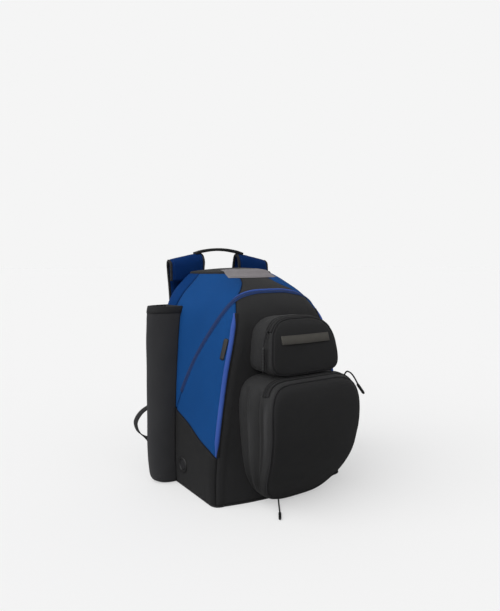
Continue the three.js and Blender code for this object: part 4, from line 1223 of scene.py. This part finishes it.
for side, sign in SIDES:
    line, way, aside, out, width = strap_frame(sign)
    across = np.linspace(0, 1, 19)
    spread = (across - 0.5)[None, :, None] * (width - 2)[:, None, None]
    fullness = np.sqrt(np.maximum(0, 1 - (2 * across - 1) ** 4))[None, :, None]
    half = (0.4 + 0.6 * fullness) * (STRAP_THICK - 2) / 2
    middle = line[:, None] + aside[:, None] * spread
    lift = out[:, None] * half
    rough = wall("strap_rough", middle + lift, middle - lift, STRAP_CLOTH)
    pad, _ = swell(rough, "shoulder_strap_pad_" + side, voxel_mm=4.5, pressure=1.2, cap_mm=1.8,
                   finish=STRAP_CLOTH)
    subdivide_once(pad)
    sewn(pad, "navy_cloth", "shoulder_strap_" + side)
    for edge, word in ((-1, "inner"), (1, "outer")):
        bound = line + aside * (edge * (width / 2 - BINDING_IN))[:, None]
        row = line + aside * (edge * (width / 2 - STITCH_IN))[:, None]
        made = rail(f"strap_binding_{side}_{word}", bound, out, round_section(3.1, 10, 1.2),
                    BINDING, along=way)
        sewn(made, "navy_cloth")
        for face in (-1, 1):
            THREADS["blue"].append(on_mesh(pad, row[4:-4], out[4:-4] * face))

# %% Back panel
CHANNELS_X, CHANNEL_WIDE, CHANNEL_DEEP = (-46, 46), 4.5, 3.2
PAD_INSET_U, PAD_RIM = 0.006, 16
s, t = np.meshgrid(np.linspace(0, 1, 41), np.linspace(0, 1, 61))
pad_u = mix(BACK_EDGE_U + PAD_INSET_U, 2 - BACK_EDGE_U - PAD_INSET_U, s)
point, out = body.frame(pad_u, mix(FOOT_Z + 4, TOP_Z - 3, t))
rim = np.minimum(np.minimum(s, 1 - s) * 270, np.minimum(t, 1 - t) * 440)
fullness = np.sqrt(np.clip(1 - (1 - np.clip(rim / PAD_RIM, 0, 1)) ** 2, 0, 1))[..., None]
rough = wall("back_rough", point - out * mix(5.5, 2.5, fullness),
             point - out * mix(6.5, 9, fullness), BACK_MESH)
pad, points = swell(rough, "back_panel_pad", voxel_mm=6, pressure=0.3, cap_mm=2.6,
                    finish=BACK_MESH)
x_mm, y_mm, z_mm = (points / MM).T
faces_out = np.clip((y_mm - (BACK_Y - 6)) / 4, 0, 1)
channel = sum(np.exp(-(((x_mm - x) / CHANNEL_WIDE) ** 2)) for x in CHANNELS_X)
channel *= ease(z_mm, 30, 60) * (1 - ease(z_mm, 390, 420))
points[:, 1] -= CHANNEL_DEEP * MM * channel * faces_out
pad.data.vertices.foreach_set("co", points.ravel())
pad.data.update()
subdivide_once(pad)
sewn(pad, "navy_cloth", "back_panel")
for x in CHANNELS_X:
    z = np.linspace(58, 392, 120)
    line = np.stack([np.full(120, float(x)), np.full(120, 112.0), z], -1)
    THREADS["blue"].append(on_mesh(pad, line, np.tile([0.0, 1.0, 0.0], (120, 1))))
edge_z = np.linspace(FOOT_Z + 2, TOP_Z - 1, 160)
for side, sign in SIDES:
    line, out = on_surface(body, np.full(160, sign * BACK_EDGE_U), edge_z, -0.4)
    sewn(rail("back_piping_" + side, line, out, round_section(2.2, 10), BINDING), "navy_cloth")

# %% [markdown]
# ## Webbing and handle
# Webbing is a flat woven band with ribs, stiff enough to keep its edge. A remesh would erase it,
# so it is a rail: the adjusting strap turns on edge round its loop and lies flat against the back,
# and the handle arches between the straps. Sewn boxes with a cross hold the ends.

# %% Adjusting webbing and grab handle
WEBBING_PATH = {"x": [102.5, 104, 107, 122, 150, 182, 210, 224, 220, 203, 182, 164, 150, 138],
                "y": [151.4, 150, 148.5, 144, 137, 130, 124, 120, 118, 118, 117, 115.6, 115, 115],
                "z": [192, 181.4, 170, 160, 156, 150, 138, 120, 100, 82, 67, 57, 52, 49]}
HANDLE = {"x": [-66, -58, -50, -38, -20, 0, 20, 38, 50, 58, 66],
          "z": [494.6, 497, 499.4, 501.6, 503.9, 504.8, 503.9, 501.6, 499.4, 497, 494.6],
          "y": 134.0}
BOX_AT, HANDLE_FACE = -14, 3.05


def smooth_line(knots, count):
    """A smooth line through the knots, with that many points."""
    run = lengths(knots[:, None], 0)[:, 0]
    place = np.linspace(0, run[-1], count)
    return np.stack([between(run, knots[:, k], place) for k in range(3)], -1)


def box_stitch(middle, way, aside, out, long, wide, lift):
    """A sewn box with a cross in it, in one line."""
    corners = [(-1, -1), (1, -1), (1, 1), (-1, 1), (-1, -1), (1, 1), (1, -1), (-1, 1)]
    spots = [middle + way * a * long / 2 + aside * b * wide / 2 + out * lift for a, b in corners]
    return np.array(spots), np.tile(out, (len(spots), 1))


for side, sign in SIDES:
    knots = np.stack([np.array(WEBBING_PATH[k], float) for k in "xyz"], -1) * [sign, 1, 1]
    line = smooth_line(knots, 150)
    share = np.linspace(0, 1, 150)
    early, late = ease(share, 0.02, 0.3), ease(share, 0.66, 0.9)
    lateral = np.stack([sign * (1 - early), early * (1 - late), late], -1)
    way = unit(np.gradient(line, axis=0))
    out = unit(np.cross(way, lateral))
    made = rail("adjusting_webbing_" + side, line, out, flat_section(20, -1, 1, 0.7), WEBBING)
    sewn(made, "black_webbing", "strap_webbing_" + side)
    aside = unit(np.cross(out, way))
    at = BOX_AT
    for face in (-1, 1):
        box = box_stitch(line[at], way[at], aside[at], out[at] * face, 16, 14, 1.05)
        THREADS["black"].append(box)
handle_x = np.linspace(HANDLE["x"][0], HANDLE["x"][-1], 90)
handle_z = between(HANDLE["x"], HANDLE["z"], handle_x)
line = np.stack([handle_x, np.full(90, HANDLE["y"]), handle_z], -1)
way, aside = unit(np.gradient(line, axis=0)), np.array([0, 1.0, 0])
up = unit(np.cross(way, aside))
up = up * np.sign(up[:, 2:])
made = rail("webbing_handle", line, up, flat_section(14, -3.6, 3, 1.2), WEBBING)
sewn(made, "black_webbing", "grab_handle")
for at in (5, -6):
    THREADS["black"].append(box_stitch(line[at], way[at], aside, up[at], 10, 9, HANDLE_FACE))
for edge in (-4.4, 4.4):
    row = line + aside * edge + up * HANDLE_FACE
    THREADS["black"].append((row[14:-14], up[14:-14]))
print("webbing length, mm:", round(float(lengths(knots[:, None], 0)[-1, 0])))

# %% [markdown]
# ## Vents and tabs
# A round vent low on each side lets wet kit dry: a moulded ring that holds a patch of mesh. The
# ring is turned from a short profile laid on the body, and the mesh is a thin disc whose finish
# has the holes. A plain tab hangs by the zip on each side.

# %% Vents
def perforated(name, colour, hole, pitch_mm):
    board = Board(name, 0.8, 0.2)
    x, y, _ = board.node("ShaderNodeSeparateXYZ", {0: board.place(True)}).outputs
    per_metre = 2 * math.pi / (pitch_mm * MM)
    waves = [board.sum("SINE", board.sum("MULTIPLY", axis, per_metre)) for axis in (x, y)]
    bars = board.sum("MAXIMUM", *waves)
    solid = board.node("ShaderNodeMapRange", {
        "Value": bars, "From Min": 0.1, "From Max": 0.5}).outputs[0]
    return board.join(board.blend(solid, hole, colour), solid, 0.5, 0.6)


VENT_MESH = perforated("vent_mesh", dye(48, 48, 50), dye(12, 12, 13), 1.6)
VENT = {"u": 0.566, "z": 50}
RING_PROFILE = [(10.6, 1.3), (11.0, 2.4), (12.0, 3.1), (13.5, 3.4), (15.2, 3.2), (16.4, 2.4),
                (17.0, 0.9)]
MESH_PROFILE = [(0.1, 1.9), (4, 1.9), (8, 1.8), (10.9, 1.5)]


def round_patch(sign, profile, count=72):
    """Rings round the vent's middle; profile holds (radius, height over the cloth)."""
    turns = np.linspace(0, 2 * np.pi, count, endpoint=False)
    rows = []
    for radius, height in profile:
        move = np.stack([np.zeros(count), np.cos(turns) * radius, np.sin(turns) * radius], -1)
        u, z = np.full(count, sign * VENT["u"]), np.full(count, float(VENT["z"]))
        a, b = body.moved(u, z, move)
        rows.append(on_surface(body, a, b, height)[0])
    return np.array(rows)


for side, sign in SIDES:
    foot = round_patch(sign, [(r, 0.5) for r, _ in RING_PROFILE])
    made = wall("vent_ring_" + side, round_patch(sign, RING_PROFILE), foot, PLASTIC, loop=True)
    sewn(made, "black_plastic", "side_vent_" + side)
    under = round_patch(sign, [(r, h - 0.6) for r, h in MESH_PROFILE])
    made = wall("vent_mesh_" + side, round_patch(sign, MESH_PROFILE), under, VENT_MESH,
                loop=True, pole=0, flat_uv=(1, 2))
    sewn(made, "black_plastic")

# %% Tabs by the side zip
TAB_SECTION = np.array([(-5.5, 1.6), (-4.8, 0.9), (0, 0.7), (4.8, 0.9), (5.5, 1.6),
                        (5.0, 2.6), (3.2, 3.1), (0, 2.7), (-3.2, 3.1), (-5.0, 2.6)])
TAB_END = 0.09
for side, sign in SIDES:
    share = np.linspace(0, 1, 40)
    line, out = on_surface(body, sign * (0.366 + 0.01 * share), 326 - 42 * share, 0)
    near_end = (1 - np.minimum(share, 1 - share) / TAB_END).clip(0, 1)
    ends = np.sqrt(np.clip(1 - near_end**2, 0.08, 1))
    made = rail("side_tab_" + side, line, out, TAB_SECTION, PLASTIC, ends)
    sewn(made, "black_webbing", "side_pull_" + side)
print("vents and tabs:", sum(p.name.startswith(("vent_", "side_tab")) for p in PIECES))

# %% [markdown]
# ## Zip pulls
# Each pull is a thin braided cord with a moulded grip on its end. A cord could be hung by a
# simulation. It has a fixed length and a seen shape, so its route is a smooth line through the
# same points as its solid: the stiff lower one arches over its pocket, the upper one hangs and
# the lowest lies on the floor. The grip is a ribbed barrel.

# %% Cords and grips
PULL_CORD = ribbed("pull_cord_braid", dye(40, 40, 42), dye(24, 24, 26), 1.1, 0.6)
PULLS = {
    "lower_zip_pull": {
        "cord": [(93.9, -206.1, 247.1), (99, -207.6, 253.3), (107.6, -209.5, 249.8),
                 (116.1, -211, 240.3), (124.4, -211.5, 228), (131.2, -211.1, 218.5)],
        "grip": [(125, -211.4, 225.5), (146.7, -210, 201.2)],
        "radius": 1.6, "grip_radius": 3.2, "stiffness": "stiff"},
    "upper_zip_pull": {
        "cord": [(-76.3, -176.2, 345.7), (-81.5, -177.5, 338.5), (-88, -180, 322),
                 (-89.9, -181.4, 309)],
        "grip": [(-89.4, -180.9, 317), (-92, -184, 268)],
        "radius": 1.6, "grip_radius": 3.4, "stiffness": "limp"},
    "floor_zip_pull": {
        "cord": [(-45.1, -170.8, 6.85), (-51, -180, 2.6), (-69, -207, 2.2), (-74, -214, 3.1)],
        "grip": [(-70.4, -209.2, 3.1), (-88, -233, 3.1)],
        "radius": 1.5, "grip_radius": 2.8, "stiffness": "limp"},
}
GRIP_RIBS = 9
for node, pull in PULLS.items():
    knots = np.array(pull["cord"], float)
    line = smooth_line(knots, 40)
    flat_out = np.tile(unit(np.cross(knots[-1] - knots[0], [0.31, 0.9, 0.2])), (40, 1))
    braid = rail(node + "_cord", line, flat_out, round_section(pull["radius"], 10), PULL_CORD)
    a, b = np.array(pull["grip"], float)
    share = np.linspace(0, 1, 44)
    barrel = np.sqrt(np.clip(1 - np.abs(2 * share - 1) ** 8, 0.05, 1))
    barrel *= 0.94 + 0.06 * np.cos(share * 2 * np.pi * GRIP_RIBS)
    grip = rail(node + "_grip", a + (b - a) * share[:, None], np.tile(flat_out[:1], (44, 1)),
                round_section(pull["grip_radius"], 16), PLASTIC, barrel)
    sewn(braid, "black_webbing", node)
    sewn(grip, "black_webbing")
    long = float(np.linalg.norm(np.diff(line, axis=0), axis=1).sum())
    print(node, "cord length, mm:", round(long, 1))

# %% [markdown]
# ## Sewing it all
# Last come the rows of stitches beside the seams and the coils of the zips. The lines are read off
# the finished panels a few millimetres in from their edges, and the node tree sets the stitches.

# %% Lines beside the seams
STITCH = {"Pitch": 3.4, "Length": 2.5, "Width": 0.62, "Height": 0.5}
TOOTH = {"Pitch": 1.5, "Length": 1.1, "Width": 4.2, "Height": 1.5}


def inset_line(name, side, inset, trim=8):
    """A line some mm in from one edge of a finished grid: low, high, first or last."""
    grid, out = GRIDS[name]
    if side in ("first", "last"):
        grid, out = np.swapaxes(grid, 0, 1), np.swapaxes(out, 0, 1)
    if side in ("high", "last"):
        grid, out = grid[::-1], out[::-1]
    deep = lengths(grid, 0)
    line, outs = [], []
    for j in range(grid.shape[1]):
        k = int(np.clip(np.searchsorted(deep[:, j], inset), 1, len(deep) - 1))
        t = np.clip((inset - deep[k - 1, j]) / max(deep[k, j] - deep[k - 1, j], TINY), 0, 1)
        line.append(mix(grid[k - 1, j], grid[k, j], t))
        outs.append(out[k, j])
    line, outs = np.array(line), np.array(outs)
    run = lengths(line[:, None], 0)[:, 0]
    keep = (run > trim) & (run < run[-1] - trim)
    return line[keep] + outs[keep] * 0.12, outs[keep]


for side, _ in SIDES:
    for edge, inset in (("low", 8), ("last", 4), ("first", 4)):
        THREADS["blue"].append(inset_line("side_rear_cloth_" + side, edge, inset))
    for edge in ("high", "low"):
        THREADS["blue"].append(inset_line("side_front_cloth_" + side, edge, 8))
        THREADS["black"].append(inset_line("lower_side_cloth_" + side, edge, 4))
    for edge, inset in (("high", 9), ("low", 22)):
        THREADS["black"].append(inset_line("sleeve_" + side, edge, inset))
for edge, inset in (("low", 8), ("first", 4), ("last", 4)):
    THREADS["black"].append(inset_line("top_front_cloth", edge, inset))
for name in ("lower_pocket", "upper_pocket"):
    for part, edge in (("_front", "low"), ("_gusset", "high")):
        THREADS["black"].append(inset_line(name + part, edge, 5, 0))
for colour, thread in (("black", BLACK_THREAD), ("blue", BLUE_THREAD)):
    made = along_lines(colour + "_stitches", THREADS[colour], STITCH, thread)
    sewn(made, colour + "_cloth")
    print(colour, "stitches, faces:", len(made.data.polygons))
for colour, coil in (("black", COIL), ("blue", BLUE_COIL)):
    made = along_lines(colour + "_zip_coil", TEETH[colour], TOOTH, coil)
    sewn(made, colour + "_zip")
    print(colour, "coil, faces:", len(made.data.polygons))

# %% [markdown]
# ## Floor and light
# The photograph has a plain, nearly white ground and soft light from the left. A lit studio could
# be built with area lamps, but they fade across a wide floor. Two wide suns and an even sky are
# used: they light the floor the same everywhere, so it meets the background without a line. A
# faint glow of the floor, seen by the camera only, keeps the shadow under the bag pale.

# %% Stage
FLOOR_TONE, FLOOR_BOUNCE, FLOOR_GLOW = (0.49, 0.49, 0.49, 1.0), (0.3, 0.3, 0.3, 1.0), 0.452
FLOOR_REACH = 40
SUNS = {"key": {"from": (-1, -0.15, 0.8), "strength": 2.1, "wide": 80},
        "fill": {"from": (-0.1, -0.9, 0.9), "strength": 0.25, "wide": 80}}
SKY, SKY_SEEN = 0.47, 0.913


def plain_floor():
    mesh = bpy.data.meshes.new("floor")
    corners = FLOOR_REACH * np.array([(-1, -1, 0), (1, -1, 0), (1, 1, 0), (-1, 1, 0)])
    mesh.from_pydata(corners.tolist(), [], [(0, 1, 2, 3)])
    board = Board("pale_floor", 1.0, 0.0)
    seen = board.node("ShaderNodeLightPath").outputs["Is Camera Ray"]
    board.join(board.blend(seen, FLOOR_BOUNCE, FLOOR_TONE))
    board.skin.inputs["Emission Color"].default_value = (1.0, 1.0, 1.0, 1.0)
    glow = board.sum("MULTIPLY", seen, FLOOR_GLOW)
    board.tree.links.new(glow, board.skin.inputs["Emission Strength"])
    mesh.materials.append(board.material)
    floor = placed("floor", mesh)
    floor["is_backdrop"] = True


plain_floor()
for name, sun in SUNS.items():
    lamp = bpy.data.lights.new(name + "_sun", "SUN")
    lamp.energy, lamp.angle = sun["strength"], math.radians(sun["wide"])
    x, y, z = sun["from"]
    tilt = math.acos(z / math.sqrt(x * x + y * y + z * z))
    placed(name + "_sun", lamp).rotation_euler = (tilt, 0, math.atan2(x, -y))
world = bpy.data.worlds.new("studio")
bpy.context.scene.world = world
world.use_nodes = True
tree = world.node_tree
sky, seen = tree.nodes["Background"], wired(tree, "ShaderNodeBackground")
for node, value in ((sky, SKY), (seen, SKY_SEEN)):
    node.inputs["Color"].default_value = (value, value, value, 1)
ray = wired(tree, "ShaderNodeLightPath").outputs["Is Camera Ray"]
either = wired(tree, "ShaderNodeMixShader", {0: ray, 1: sky.outputs[0], 2: seen.outputs[0]})
tree.links.new(either.outputs[0], tree.nodes["World Output"].inputs[0])
bpy.context.scene.view_settings.view_transform = "Standard"
print("suns:", len(SUNS))

# %% [markdown]
# ## Closing
# The finished pieces' box is set against the solids' box, and how much it grew is printed.
# The visual model must stay the size of the solids.

# %% Sizes and finish
look_box = [list(corner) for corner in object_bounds()]
grown = (np.array(look_box) - np.array(CAD_BOX)) / MM
print("pieces:", len(PIECES), "grown by, mm:", grown.round(1).tolist())
